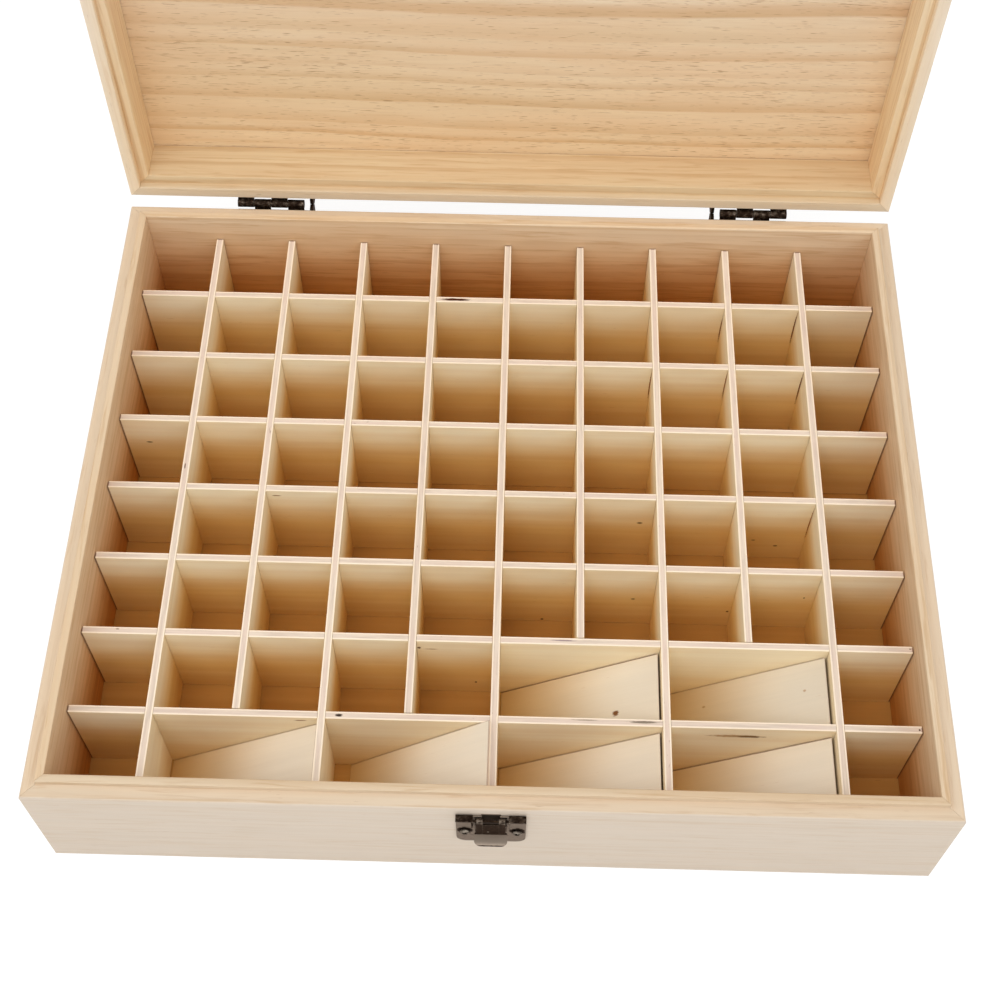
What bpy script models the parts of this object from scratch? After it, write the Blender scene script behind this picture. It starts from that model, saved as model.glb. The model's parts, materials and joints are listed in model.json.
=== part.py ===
"""Storage box for small oil bottles, with a divided tray and an open hinged lid.

Units are metres, +Z is up, +Y runs from the front to the back and +X to the right. The origin is
the centre of the underside. The lid and the latch lever are modelled in their closed places and
hang on empties that lie on their hinge axes, so that one angle opens each of them.
"""

import math

import bmesh
import bpy
from mathutils import Matrix, Vector


# General fits
SEAT_GAP = 0.0003
CUT_OVERRUN = 0.002
ROUND_SEGMENTS = 20
SMOOTH_ANGLE = math.radians(40.0)

# Tray walls
OUTER_WIDTH = 0.345
OUTER_DEPTH = 0.285
WALL_HEIGHT = 0.0604
WALL_THICKNESS = 0.0085
LEDGE_WIDTH = 0.0053
LIP_HEIGHT = 0.0026
OUTER_ARRIS = 0.0009
LIP_ARRIS = 0.0004
ARRIS_STEPS = 3

# Tray bottom
BOTTOM_THICKNESS = 0.003
BOTTOM_REBATE = 0.0045

# Dividers
COLUMNS = 10
ROWS = 8
DIVIDER_THICKNESS = 0.003
DIVIDER_HEIGHT = 0.0455
DIVIDER_END_GAP = 0.0004
SLOT_CLEARANCE = 0.0003
# Each long divider runs from the back wall to this cross divider, or to the front wall for ROWS.
LONG_DIVIDER_REACH = {1: 8, 2: 7, 3: 8, 4: 7, 5: 8, 6: 6, 7: 8, 8: 6, 9: 8}

# Sloping boards of the six double cells: row, left-hand column, and how far the toe has slid
RAMP_THICKNESS = 0.003
RAMP_RISE = 0.04025
RAMP_TOE_GAP = 0.0007
RAMP_HEAD_GAP = 0.001
RAMP_SIDE_GAP = 0.0006
RAMP_SLIP = 0.006
RAMP_CELLS = ((7, 6, 0.0), (7, 8, 0.0), (8, 2, 0.0), (8, 4, RAMP_SLIP), (8, 6, 0.0), (8, 8, 0.0))

# Lid
PARTING_GAP = 0.0004
LID_WALL_THICKNESS = 0.009
LID_INNER_DEPTH = 0.023
LID_PANEL_THICKNESS = 0.004
LID_PANEL_REBATE = 0.0045
RIM_CLEARANCE = 0.0003
LIP_HEADROOM = 0.001
OPEN_ANGLE = math.radians(91.5)

# Hinges
HINGE_INSET = 0.0625
HINGE_SHIFT = 0.0013
HINGE_OFFSET = 0.0031
LEAF_THICKNESS = 0.001
LEAF_REACH = 0.016
BARREL_LENGTH = 0.0305
BARREL_RADIUS = 0.0019
KNUCKLES = 4
KNUCKLE_GAP = 0.0003
HINGE_PIN_RADIUS = 0.0008
HINGE_PIN_PLAY = 0.0002
PIN_DOME = 0.0003
EAR_DISTANCE = 0.0026
EAR_THICKNESS = 0.0014
EAR_REACH = 0.0045
LEAF_SCREW_INSET = 0.007
LEAF_SCREW_DROP = 0.0095

# Screws
SCREW_HEAD_RADIUS = 0.0021
SCREW_HEAD_HEIGHT = 0.0011
SCREW_SHANK_RADIUS = 0.0009
SCREW_LENGTH = 0.007
SCREW_POINT = 0.0018
PILOT_CLEARANCE = 0.0003

# Latch on the tray
LATCH_WIDTH = 0.026
LATCH_HEIGHT = 0.0262
LATCH_DROP = 0.0042
LATCH_SHEET = 0.0006
LATCH_CORNER = 0.004
LATCH_FLANGE = 0.0024
LATCH_FLANGE_INSET = 0.0002
WING_INNER = 0.0066
NOTCH_HALF_WIDTH = 0.0033
NOTCH_DEPTH = 0.005
CHEEK_HEIGHT = 0.0105
CHEEK_REACH = 0.0028
LATCH_PIN_RADIUS = 0.0005
LATCH_PIN_PLAY = 0.0002
LATCH_PIN_DROP = 0.0014
LATCH_SCREW_SPACING = 0.0196
LATCH_SCREW_DROP = 0.0155

# Latch lever
LEVER_HALF_WIDTH = 0.0062
LEVER_RING_RADIUS = 0.0011
LEVER_WINDOW_HALF_WIDTH = 0.003
LEVER_WINDOW_DROP = 0.0012
LEVER_BODY_DROP = 0.0106
LEVER_SIDE_HEIGHT = 0.0085
LIP_DROP = 0.0062
LIP_FLARE = 0.0028
LIP_CORNER = 0.0022
LIP_STEPS = 6

# Keeper on the lid
KEEPER_WIDTH = 0.022
KEEPER_HEIGHT = 0.012
KEEPER_RISE = 0.0022
KEEPER_CORNER = 0.003
TONGUE_HALF_WIDTH = 0.0024
TONGUE_BELOW_PIN = 0.0018
NIB_HEIGHT = 0.001
KEEPER_SCREW_SPACING = 0.0145

# Sizes worked out from the ones above
INNER_WIDTH = OUTER_WIDTH - 2 * WALL_THICKNESS
INNER_DEPTH = OUTER_DEPTH - 2 * WALL_THICKNESS
CELL_WIDTH = (INNER_WIDTH - (COLUMNS - 1) * DIVIDER_THICKNESS) / COLUMNS
CELL_DEPTH = (INNER_DEPTH - (ROWS - 1) * DIVIDER_THICKNESS) / ROWS
RAMP_CELL_WIDTH = 2 * CELL_WIDTH + DIVIDER_THICKNESS
RAMP_RUN = RAMP_CELL_WIDTH - RAMP_TOE_GAP - RAMP_HEAD_GAP
DIVIDER_FOOT = BOTTOM_THICKNESS + SEAT_GAP
DIVIDER_TOP = DIVIDER_FOOT + DIVIDER_HEIGHT
DIVIDER_MIDDLE = DIVIDER_FOOT + DIVIDER_HEIGHT / 2
SLOT_HALF_WIDTH = DIVIDER_THICKNESS / 2 + SLOT_CLEARANCE
LID_BOTTOM = WALL_HEIGHT + PARTING_GAP
LID_RABBET = LIP_HEIGHT + LIP_HEADROOM
LID_RIM_WIDTH = LEDGE_WIDTH - RIM_CLEARANCE
LID_HEIGHT = LID_INNER_DEPTH + SEAT_GAP + LID_PANEL_THICKNESS
LID_TOP = LID_BOTTOM + LID_HEIGHT
FRONT_FACE = -OUTER_DEPTH / 2
BACK_FACE = OUTER_DEPTH / 2
HINGE_AXIS = Vector((0.0, BACK_FACE + HINGE_OFFSET, WALL_HEIGHT + PARTING_GAP / 2))
LATCH_TOP = WALL_HEIGHT - LATCH_DROP
LATCH_FACE = SEAT_GAP + LATCH_SHEET
LEVER_OUT = LATCH_FACE + SEAT_GAP + LEVER_RING_RADIUS
LATCH_AXIS = Vector((0.0, FRONT_FACE - LEVER_OUT, LATCH_TOP - LATCH_PIN_DROP))
KEEPER_BOTTOM = LID_BOTTOM + KEEPER_RISE


# Scene and materials

def clear_scene():
    """Remove every object that the file holds."""
    for existing in list(bpy.data.objects):
        bpy.data.objects.remove(existing, do_unlink=True)


def make_material(name, colour, roughness, metallic=0.0):
    """Return a plain Principled material."""
    material = bpy.data.materials.new(name)
    material.use_nodes = True
    shader = material.node_tree.nodes["Principled BSDF"]
    shader.inputs["Base Color"].default_value = (*colour, 1.0)
    shader.inputs["Roughness"].default_value = roughness
    shader.inputs["Metallic"].default_value = metallic
    return material


def make_pivot(name, place, turn=0.0):
    """Return an empty on a hinge axis, turned about X."""
    pivot = bpy.data.objects.new(name, None)
    pivot.location = place
    pivot.rotation_euler = (turn, 0.0, 0.0)
    bpy.context.scene.collection.objects.link(pivot)
    return pivot


def add_piece(name, body, material, pivot=None):
    """Make an object of a mesh drawn in the closed box's frame, and hang it on its pivot."""
    bmesh.ops.recalc_face_normals(body, faces=body.faces)
    if pivot:
        bmesh.ops.translate(body, vec=-pivot.location, verts=body.verts)
    mesh = bpy.data.meshes.new(name)
    body.to_mesh(mesh)
    body.free()
    piece = bpy.data.objects.new(name, mesh)
    piece.parent = pivot
    bpy.context.scene.collection.objects.link(piece)
    if material:
        mesh.materials.append(material)
    return piece


def shade_round(piece):
    """Shade a round piece smooth, with its corners kept sharp."""
    piece.data.shade_smooth()
    piece.data.set_sharp_from_angle(angle=SMOOTH_ANGLE)


def shape_with(piece, operation, body, pivot=None):
    """Join a body to a piece or cut it away, with a hidden tool object."""
    tool = add_piece(piece.name + "_" + operation.lower(), body, None, pivot)
    tool.hide_render = True
    tool.display_type = "WIRE"
    modifier = piece.modifiers.new(operation.lower(), "BOOLEAN")
    modifier.operation = operation
    modifier.solver = "EXACT"
    modifier.object = tool


# Outlines and bodies

def along_x(u, v, station):
    """Place a Y-Z outline point at an X station."""
    return (station, u, v)


def along_y(u, v, station):
    """Place an X-Z outline point at a Y station."""
    return (u, station, v)


def along_z(u, v, station):
    """Place an X-Y outline point at a Z station."""
    return (u, v, station)


def rectangle(low_u, low_v, high_u, high_v):
    """Return the four corners of a rectangle."""
    return [(low_u, low_v), (high_u, low_v), (high_u, high_v), (low_u, high_v)]


def eased(outline, radii, steps=ARRIS_STEPS):
    """Round the corners of a closed outline; radii maps a corner's number to its radius."""
    points = []
    for number, corner in enumerate(outline):
        radius = radii.get(number, 0.0)
        if radius == 0.0:
            points.append(corner)
            continue
        here = Vector(corner)
        back = (Vector(outline[number - 1]) - here).normalized()
        ahead = (Vector(outline[(number + 1) % len(outline)]) - here).normalized()
        half_angle = back.angle(ahead) / 2
        centre = here + (back + ahead).normalized() * (radius / math.sin(half_angle))
        start = here + back * (radius / math.tan(half_angle)) - centre
        turn = (math.pi - 2 * half_angle) * (1 if back.cross(ahead) < 0 else -1)
        for step in range(steps + 1):
            spoke = Matrix.Rotation(turn * step / steps, 2) @ start
            points.append(tuple(centre + spoke))
    return points


def prism_into(body, outline, place, low, high):
    """Add a closed prism: an outline drawn at two stations and joined by sides."""
    rings = []
    for station in (low, high):
        ring = [body.verts.new(place(u, v, station)) for u, v in outline]
        body.faces.new(ring)
        rings.append(ring)
    for number in range(len(outline)):
        after = (number + 1) % len(outline)
        body.faces.new((rings[0][number], rings[0][after], rings[1][after], rings[1][number]))


def prism(outline, place, low, high):
    """Return one closed prism."""
    body = bmesh.new()
    prism_into(body, outline, place, low, high)
    return body


def round_bar(body, place, radius, low, high, centre=(0.0, 0.0)):
    """Add a closed round bar whose axis runs along the direction that place gives."""
    turn = 2 * math.pi / ROUND_SEGMENTS
    circle = [
        (centre[0] + radius * math.cos(turn * step), centre[1] + radius * math.sin(turn * step))
        for step in range(ROUND_SEGMENTS)
    ]
    prism_into(body, circle, place, low, high)


def turned(profile, place):
    """Return a body turned about an axis; profile lists radius and station, ending on the axis."""
    body = bmesh.new()
    turn = 2 * math.pi / ROUND_SEGMENTS
    rings = []
    for radius, station in profile:
        if radius == 0.0:
            rings.append([body.verts.new(place(0.0, 0.0, station))])
            continue
        rings.append([
            body.verts.new(place(radius * math.cos(turn * step), radius * math.sin(turn * step), station))
            for step in range(ROUND_SEGMENTS)
        ])
    for inner, outer in zip(rings, rings[1:]):
        for step in range(ROUND_SEGMENTS):
            after = (step + 1) % ROUND_SEGMENTS
            corners = [inner[step % len(inner)], inner[after % len(inner)]]
            corners += [outer[after % len(outer)], outer[step % len(outer)]]
            body.faces.new(list(dict.fromkeys(corners)))
    return body


def mitred_board(profile, length):
    """Return a board along X whose ends are cut at 45 degrees.

    The profile lists depth from the outer face and height. The board's outer face lies at Y = 0
    and its inner side towards +Y.
    """
    body = bmesh.new()
    rings = []
    for end in (-1, 1):
        ring = [
            body.verts.new((end * (length / 2 - depth - SEAT_GAP / 2), depth, height))
            for depth, height in profile
        ]
        body.faces.new(ring)
        rings.append(ring)
    for number in range(len(profile)):
        after = (number + 1) % len(profile)
        body.faces.new((rings[0][number], rings[0][after], rings[1][after], rings[1][number]))
    return body


def board_at(profile, side):
    """Return the mitred board of one side of the box, in its place."""
    length = OUTER_WIDTH if side in ("front", "back") else OUTER_DEPTH
    reach = OUTER_DEPTH / 2 if side in ("front", "back") else OUTER_WIDTH / 2
    quarter_turns = {"front": 0, "right": 1, "back": 2, "left": 3}[side]
    body = mitred_board(profile, length)
    bmesh.ops.translate(body, vec=(0.0, -reach, 0.0), verts=body.verts)
    turn = Matrix.Rotation(math.pi / 2 * quarter_turns, 3, "Z")
    bmesh.ops.rotate(body, matrix=turn, verts=body.verts)
    return body


# Places that several pieces share

def column_line(number):
    """Return the X centre of a long divider; 0 is the left wall's face less half a divider."""
    pitch = CELL_WIDTH + DIVIDER_THICKNESS
    return -INNER_WIDTH / 2 - DIVIDER_THICKNESS / 2 + number * pitch


def row_line(number):
    """Return the Y centre of a cross divider, counted from the back wall to the front."""
    pitch = CELL_DEPTH + DIVIDER_THICKNESS
    return INNER_DEPTH / 2 + DIVIDER_THICKNESS / 2 - number * pitch


def hinge_centres():
    """Return the X places of the two hinges, which both sit a little to the right."""
    aside = OUTER_WIDTH / 2 - HINGE_INSET
    return {"left": HINGE_SHIFT - aside, "right": HINGE_SHIFT + aside}


def hinge_screw_places(above):
    """Return the X and Z places of the four leaf screws above or below the hinge axis."""
    height = HINGE_AXIS.z + (LEAF_SCREW_DROP if above else -LEAF_SCREW_DROP)
    aside = BARREL_LENGTH / 2 - LEAF_SCREW_INSET
    places = []
    for centre in hinge_centres().values():
        for half in (-1, 1):
            places.append((centre + half * aside, height))
    return places


def latch_screw_places():
    """Return the X and Z places of the two screws in the latch plate's wings."""
    height = LATCH_TOP - LATCH_SCREW_DROP
    return [(half * LATCH_SCREW_SPACING / 2, height) for half in (-1, 1)]


def keeper_screw_places():
    """Return the X and Z places of the two screws in the keeper."""
    height = KEEPER_BOTTOM + KEEPER_HEIGHT / 2
    return [(half * KEEPER_SCREW_SPACING / 2, height) for half in (-1, 1)]


def drill(places, low, high):
    """Return round cutters along Y for screw shanks."""
    body = bmesh.new()
    for place in places:
        round_bar(body, along_y, SCREW_SHANK_RADIUS + PILOT_CLEARANCE, low, high, place)
    return body


# Tray

def make_tray(pine, plywood):
    """Build the four mitred walls and the bottom panel."""
    rebate_top = BOTTOM_THICKNESS + SEAT_GAP
    rim = WALL_HEIGHT + LIP_HEIGHT
    profile = [
        (0.0, 0.0), (0.0, WALL_HEIGHT), (LEDGE_WIDTH, WALL_HEIGHT), (LEDGE_WIDTH, rim),
        (WALL_THICKNESS, rim), (WALL_THICKNESS, rebate_top),
        (WALL_THICKNESS - BOTTOM_REBATE, rebate_top), (WALL_THICKNESS - BOTTOM_REBATE, 0.0),
    ]
    profile = eased(profile, {0: LIP_ARRIS, 1: OUTER_ARRIS, 3: LIP_ARRIS, 4: LIP_ARRIS})
    walls = {}
    for side in ("front", "back", "left", "right"):
        walls[side] = add_piece("base_" + side + "_wall", board_at(profile, side), pine)
    front_holes = drill(latch_screw_places(), FRONT_FACE - CUT_OVERRUN, FRONT_FACE + SCREW_LENGTH)
    shape_with(walls["front"], "DIFFERENCE", front_holes)
    back_holes = drill(hinge_screw_places(False), BACK_FACE - SCREW_LENGTH, BACK_FACE + CUT_OVERRUN)
    shape_with(walls["back"], "DIFFERENCE", back_holes)
    inset = WALL_THICKNESS - BOTTOM_REBATE + SEAT_GAP
    half_width = OUTER_WIDTH / 2 - inset
    half_depth = OUTER_DEPTH / 2 - inset
    outline = rectangle(-half_width, -half_depth, half_width, half_depth)
    add_piece("base_bottom_panel", prism(outline, along_z, 0.0, BOTTOM_THICKNESS), plywood)


# Dividers

def slotted_outline(low, high, slots, from_top):
    """Return a divider's outline with halving slots from its top or its bottom edge."""
    edge = DIVIDER_TOP if from_top else DIVIDER_FOOT
    other = DIVIDER_FOOT if from_top else DIVIDER_TOP
    floor = DIVIDER_MIDDLE + (-SLOT_CLEARANCE if from_top else SLOT_CLEARANCE) / 2
    slotted = []
    for slot in slots:
        slotted += [(slot - SLOT_HALF_WIDTH, edge), (slot - SLOT_HALF_WIDTH, floor)]
        slotted += [(slot + SLOT_HALF_WIDTH, floor), (slot + SLOT_HALF_WIDTH, edge)]
    return [(low, other), (low, edge), *slotted, (high, edge), (high, other)]


def make_cross_dividers(plywood):
    """Build the dividers that run from left to right, slotted from above."""
    half_length = INNER_WIDTH / 2 - DIVIDER_END_GAP
    for row in range(1, ROWS):
        crossed = [column for column, reach in LONG_DIVIDER_REACH.items() if reach > row]
        slots = [column_line(column) for column in crossed]
        outline = slotted_outline(-half_length, half_length, slots, True)
        middle = row_line(row)
        body = prism(outline, along_y, middle - DIVIDER_THICKNESS / 2, middle + DIVIDER_THICKNESS / 2)
        add_piece("cross_divider_" + str(row), body, plywood)


def make_long_dividers(plywood):
    """Build the dividers that run from back to front, slotted from below."""
    for column, reach in LONG_DIVIDER_REACH.items():
        back_end = INNER_DEPTH / 2 - DIVIDER_END_GAP
        front_end = row_line(reach) + DIVIDER_THICKNESS / 2 + DIVIDER_END_GAP
        slots = [row_line(row) for row in range(reach - 1, 0, -1)]
        outline = slotted_outline(front_end, back_end, slots, False)
        middle = column_line(column)
        body = prism(outline, along_x, middle - DIVIDER_THICKNESS / 2, middle + DIVIDER_THICKNESS / 2)
        add_piece("long_divider_" + str(column), body, plywood)


def make_ramps(plywood):
    """Build the sloping boards, each with its toe cut level to lie on the bottom."""
    slope = math.atan2(RAMP_RISE, RAMP_RUN)
    length = math.hypot(RAMP_RUN, RAMP_RISE)
    heel = RAMP_THICKNESS / math.tan(slope)
    head = length - RAMP_THICKNESS * math.tan(slope)
    outline = [(0.0, 0.0), (length, 0.0), (head, -RAMP_THICKNESS), (heel, -RAMP_THICKNESS)]
    for number, (row, column, slip) in enumerate(RAMP_CELLS, start=1):
        left = column_line(column - 1) + DIVIDER_THICKNESS / 2
        toe = left + RAMP_TOE_GAP + slip
        lift = math.acos((RAMP_RUN - slip) / length)
        placed = []
        for along, across in outline:
            point = Matrix.Rotation(lift, 2) @ Vector((along, across))
            placed.append((toe + point.x, DIVIDER_FOOT + point.y))
        low = row_line(row) + DIVIDER_THICKNESS / 2 + RAMP_SIDE_GAP
        high = row_line(row - 1) - DIVIDER_THICKNESS / 2 - RAMP_SIDE_GAP
        add_piece("ramp_board_" + str(number), prism(placed, along_y, low, high), plywood)


# Lid

def make_lid(pine, pivot):
    """Build the four mitred rails and the top panel in the rails' rebate."""
    seat = LID_BOTTOM + LID_INNER_DEPTH
    shoulder = LID_BOTTOM + LID_RABBET
    inner = LID_WALL_THICKNESS - LID_PANEL_REBATE
    profile = [
        (0.0, LID_BOTTOM), (0.0, LID_TOP), (inner, LID_TOP), (inner, seat),
        (LID_WALL_THICKNESS, seat), (LID_WALL_THICKNESS, shoulder),
        (LID_RIM_WIDTH, shoulder), (LID_RIM_WIDTH, LID_BOTTOM),
    ]
    profile = eased(profile, {0: LIP_ARRIS, 1: OUTER_ARRIS, 5: LIP_ARRIS, 7: LIP_ARRIS})
    rails = {}
    for side in ("front", "back", "left", "right"):
        rails[side] = add_piece("lid_" + side + "_rail", board_at(profile, side), pine, pivot)
    front_holes = drill(keeper_screw_places(), FRONT_FACE - CUT_OVERRUN, FRONT_FACE + SCREW_LENGTH)
    shape_with(rails["front"], "DIFFERENCE", front_holes, pivot)
    back_holes = drill(hinge_screw_places(True), BACK_FACE - SCREW_LENGTH, BACK_FACE + CUT_OVERRUN)
    shape_with(rails["back"], "DIFFERENCE", back_holes, pivot)
    half_width = OUTER_WIDTH / 2 - inner - SEAT_GAP
    half_depth = OUTER_DEPTH / 2 - inner - SEAT_GAP
    outline = rectangle(-half_width, -half_depth, half_width, half_depth)
    panel = prism(outline, along_z, seat + SEAT_GAP, LID_TOP)
    add_piece("lid_top_panel", panel, pine, pivot)


# Screws

def screw_body(place, outward, seat):
    """Return a round-headed screw along Y; outward is the side that its head is on."""
    head_seat = SEAT_GAP
    profile = [
        (0.0, head_seat + SCREW_HEAD_HEIGHT),
        (SCREW_HEAD_RADIUS / 2, head_seat + SCREW_HEAD_HEIGHT),
        (SCREW_HEAD_RADIUS, head_seat + SCREW_HEAD_HEIGHT / 2),
        (SCREW_HEAD_RADIUS, head_seat),
        (SCREW_SHANK_RADIUS, head_seat),
        (SCREW_SHANK_RADIUS, head_seat + SCREW_POINT - SCREW_LENGTH),
        (0.0, head_seat - SCREW_LENGTH),
    ]

    def along_screw(u, v, station):
        return (place[0] + u, seat + outward * station, place[1] + v)

    return turned(profile, along_screw)


def make_screws(bronze, lid_pivot):
    """Build the hinge, latch and keeper screws."""
    leaf_face = BACK_FACE + SEAT_GAP + LEAF_THICKNESS
    sets = [
        ("hinge_base_screw_", hinge_screw_places(False), 1, leaf_face, None),
        ("hinge_lid_screw_", hinge_screw_places(True), 1, leaf_face, lid_pivot),
        ("latch_screw_", latch_screw_places(), -1, FRONT_FACE - LATCH_FACE, None),
        ("keeper_screw_", keeper_screw_places(), -1, FRONT_FACE - LATCH_FACE, lid_pivot),
    ]
    for prefix, places, outward, seat, pivot in sets:
        for number, place in enumerate(places, start=1):
            screw = add_piece(prefix + str(number), screw_body(place, outward, seat), bronze, pivot)
            shade_round(screw)


# Hinges

def ear_outline(flip):
    """Return the stop ear's Y-Z outline, which meets its twin on a line through the axis."""
    plate = -HINGE_OFFSET + SEAT_GAP
    stop = Vector((math.cos(OPEN_ANGLE / 2), -math.sin(OPEN_ANGLE / 2)))
    aside = Vector((-stop.y, stop.x)) * -SEAT_GAP
    tip = stop * EAR_REACH + aside
    foot = -2 * EAR_REACH
    points = [(plate, -SEAT_GAP), (aside.x, -SEAT_GAP), tuple(tip), (tip.x, foot), (plate, foot)]
    return [(HINGE_AXIS.y + across, HINGE_AXIS.z + flip * up) for across, up in points]


def knuckle_ends(outer_end, inward, first_knuckle):
    """Return the X ends of a leaf's knuckles, which take every other place along the barrel."""
    length = BARREL_LENGTH / KNUCKLES
    ends = []
    for number in range(first_knuckle, KNUCKLES, 2):
        start = outer_end + inward * (number * length + KNUCKLE_GAP / 2)
        ends.append((start, start + inward * (length - KNUCKLE_GAP)))
    return ends


def hinge_leaf(centre, flip, first_knuckle):
    """Return a leaf's plate, the bodies joined to it and the bore cut from it.

    flip is 1 for the leaf under the axis and -1 for the one over it.
    """
    inward = -1 if centre > 0.0 else 1
    outer_end = centre - inward * BARREL_LENGTH / 2
    ear_near = centre + inward * (BARREL_LENGTH / 2 + EAR_DISTANCE)
    ear_far = ear_near + inward * EAR_THICKNESS
    low = BACK_FACE + SEAT_GAP
    high = low + LEAF_THICKNESS
    relief = BARREL_RADIUS + SEAT_GAP
    plate = rectangle(outer_end, HINGE_AXIS.z - flip * LEAF_REACH, ear_far, HINGE_AXIS.z - flip * relief)
    body = prism(plate, along_y, low, high)
    knuckles = bmesh.new()
    webs = bmesh.new()
    web_end = HINGE_AXIS.y - BARREL_RADIUS / 2
    web = rectangle(low, HINGE_AXIS.z - flip * 2 * relief, web_end, HINGE_AXIS.z)
    for start, end in knuckle_ends(outer_end, inward, first_knuckle):
        round_bar(knuckles, along_x, BARREL_RADIUS, start, end, (HINGE_AXIS.y, HINGE_AXIS.z))
        prism_into(webs, web, along_x, start, end)
    ear = prism(ear_outline(flip), along_x, ear_near, ear_far)
    bore = bmesh.new()
    bore_half = BARREL_LENGTH / 2 + CUT_OVERRUN
    bore_radius = HINGE_PIN_RADIUS + HINGE_PIN_PLAY
    round_bar(
        bore, along_x, bore_radius, centre - bore_half, centre + bore_half, (HINGE_AXIS.y, HINGE_AXIS.z)
    )
    return body, [knuckles, webs, ear], bore


def make_hinges(bronze, lid_pivot):
    """Build both stop hinges: two leaves and a pin each."""
    for side, centre in hinge_centres().items():
        leaves = (("base", 1, 1, None), ("lid", -1, 0, lid_pivot))
        for owner, flip, first_knuckle, pivot in leaves:
            body, joined, bore = hinge_leaf(centre, flip, first_knuckle)
            leaf = add_piece(side + "_hinge_" + owner + "_leaf", body, bronze, pivot)
            for extra in joined:
                shape_with(leaf, "UNION", extra, pivot)
            shape_with(leaf, "DIFFERENCE", bore, pivot)
            places = hinge_screw_places(flip < 0)
            holes = drill(places, BACK_FACE, BACK_FACE + SEAT_GAP + LEAF_THICKNESS + CUT_OVERRUN)
            shape_with(leaf, "DIFFERENCE", holes, pivot)
            shade_round(leaf)
        half = BARREL_LENGTH / 2
        profile = [
            (0.0, -half), (HINGE_PIN_RADIUS - PIN_DOME, -half), (HINGE_PIN_RADIUS, PIN_DOME - half),
            (HINGE_PIN_RADIUS, half - PIN_DOME), (HINGE_PIN_RADIUS - PIN_DOME, half), (0.0, half),
        ]

        def along_pin(u, v, station, centre=centre):
            return (centre + station, HINGE_AXIS.y + u, HINGE_AXIS.z + v)

        pin = add_piece(side + "_hinge_pin", turned(profile, along_pin), bronze)
        shade_round(pin)


# Latch

def make_latch_plate(bronze):
    """Build the plate with its wings, top flange, pin cheeks and the notch for the tongue."""
    half = LATCH_WIDTH / 2
    bottom = LATCH_TOP - LATCH_HEIGHT
    notch = LATCH_TOP - NOTCH_DEPTH
    outline = [
        (-half, bottom), (half, bottom), (half, LATCH_TOP), (NOTCH_HALF_WIDTH, LATCH_TOP),
        (NOTCH_HALF_WIDTH, notch), (-NOTCH_HALF_WIDTH, notch), (-NOTCH_HALF_WIDTH, LATCH_TOP),
        (-half, LATCH_TOP),
    ]
    outline = eased(outline, {0: LATCH_CORNER, 1: LATCH_CORNER}, LIP_STEPS)
    inner = FRONT_FACE - SEAT_GAP
    outer = inner - LATCH_SHEET
    plate = add_piece("latch_plate", prism(outline, along_y, outer, inner), bronze)
    middle = outer + LATCH_SHEET / 2
    flanges = bmesh.new()
    cheeks = bmesh.new()
    for half_side in (-1, 1):
        fold = half_side * (WING_INNER + LATCH_SHEET / 2)
        flange = rectangle(outer - LATCH_FLANGE, LATCH_TOP - LATCH_SHEET, middle, LATCH_TOP)
        prism_into(flanges, flange, along_x, fold, half_side * (half - LATCH_FLANGE_INSET))
        cheek_top = LATCH_TOP - LATCH_SHEET / 2
        cheek_foot = cheek_top - CHEEK_HEIGHT
        cheek = [
            (middle, cheek_top), (outer - CHEEK_REACH, cheek_top),
            (outer - CHEEK_REACH, cheek_top - CHEEK_HEIGHT / 2), (outer - LATCH_SHEET, cheek_foot),
            (middle, cheek_foot),
        ]
        prism_into(cheeks, cheek, along_x, half_side * WING_INNER, half_side * (WING_INNER + LATCH_SHEET))
    shape_with(plate, "UNION", flanges)
    shape_with(plate, "UNION", cheeks)
    holes = drill(latch_screw_places(), outer - CUT_OVERRUN, FRONT_FACE)
    bore_half = WING_INNER + LATCH_SHEET + CUT_OVERRUN
    bore_radius = LATCH_PIN_RADIUS + LATCH_PIN_PLAY
    round_bar(holes, along_x, bore_radius, -bore_half, bore_half, (LATCH_AXIS.y, LATCH_AXIS.z))
    shape_with(plate, "DIFFERENCE", holes)


def lever_sheet():
    """Return the lever's bent sheet, from the pin's height down to the flared thumb lip."""
    front = LATCH_AXIS.y - LEVER_RING_RADIUS
    body_end = LATCH_AXIS.z - LEVER_BODY_DROP
    rows = [(front, LATCH_AXIS.z, LEVER_HALF_WIDTH), (front, body_end, LEVER_HALF_WIDTH)]
    for step in range(1, LIP_STEPS + 1):
        share = step / LIP_STEPS
        turn = share * math.pi / 2
        out = front - LIP_FLARE * (1.0 - math.cos(turn))
        down = body_end - LIP_DROP * math.sin(turn)
        corner = max(0.0, LIP_CORNER - LIP_DROP * (1.0 - math.sin(turn)))
        narrower = LIP_CORNER - math.sqrt(LIP_CORNER ** 2 - corner ** 2)
        rows.append((out, down, LEVER_HALF_WIDTH - narrower))
    body = bmesh.new()
    rings = []
    for number, (out, height, half_width) in enumerate(rows):
        before = rows[max(number - 1, 0)]
        ahead = rows[min(number + 1, len(rows) - 1)]
        run = Vector((ahead[0] - before[0], ahead[1] - before[1])).normalized()
        back = Vector((-run.y, run.x)) * LATCH_SHEET
        rings.append([
            body.verts.new((-half_width, out, height)),
            body.verts.new((half_width, out, height)),
            body.verts.new((half_width, out + back.x, height + back.y)),
            body.verts.new((-half_width, out + back.x, height + back.y)),
        ])
    body.faces.new(rings[0])
    body.faces.new(rings[-1])
    for upper, lower in zip(rings, rings[1:]):
        for number in range(4):
            after = (number + 1) % 4
            body.faces.new((upper[number], upper[after], lower[after], lower[number]))
    return body


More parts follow.
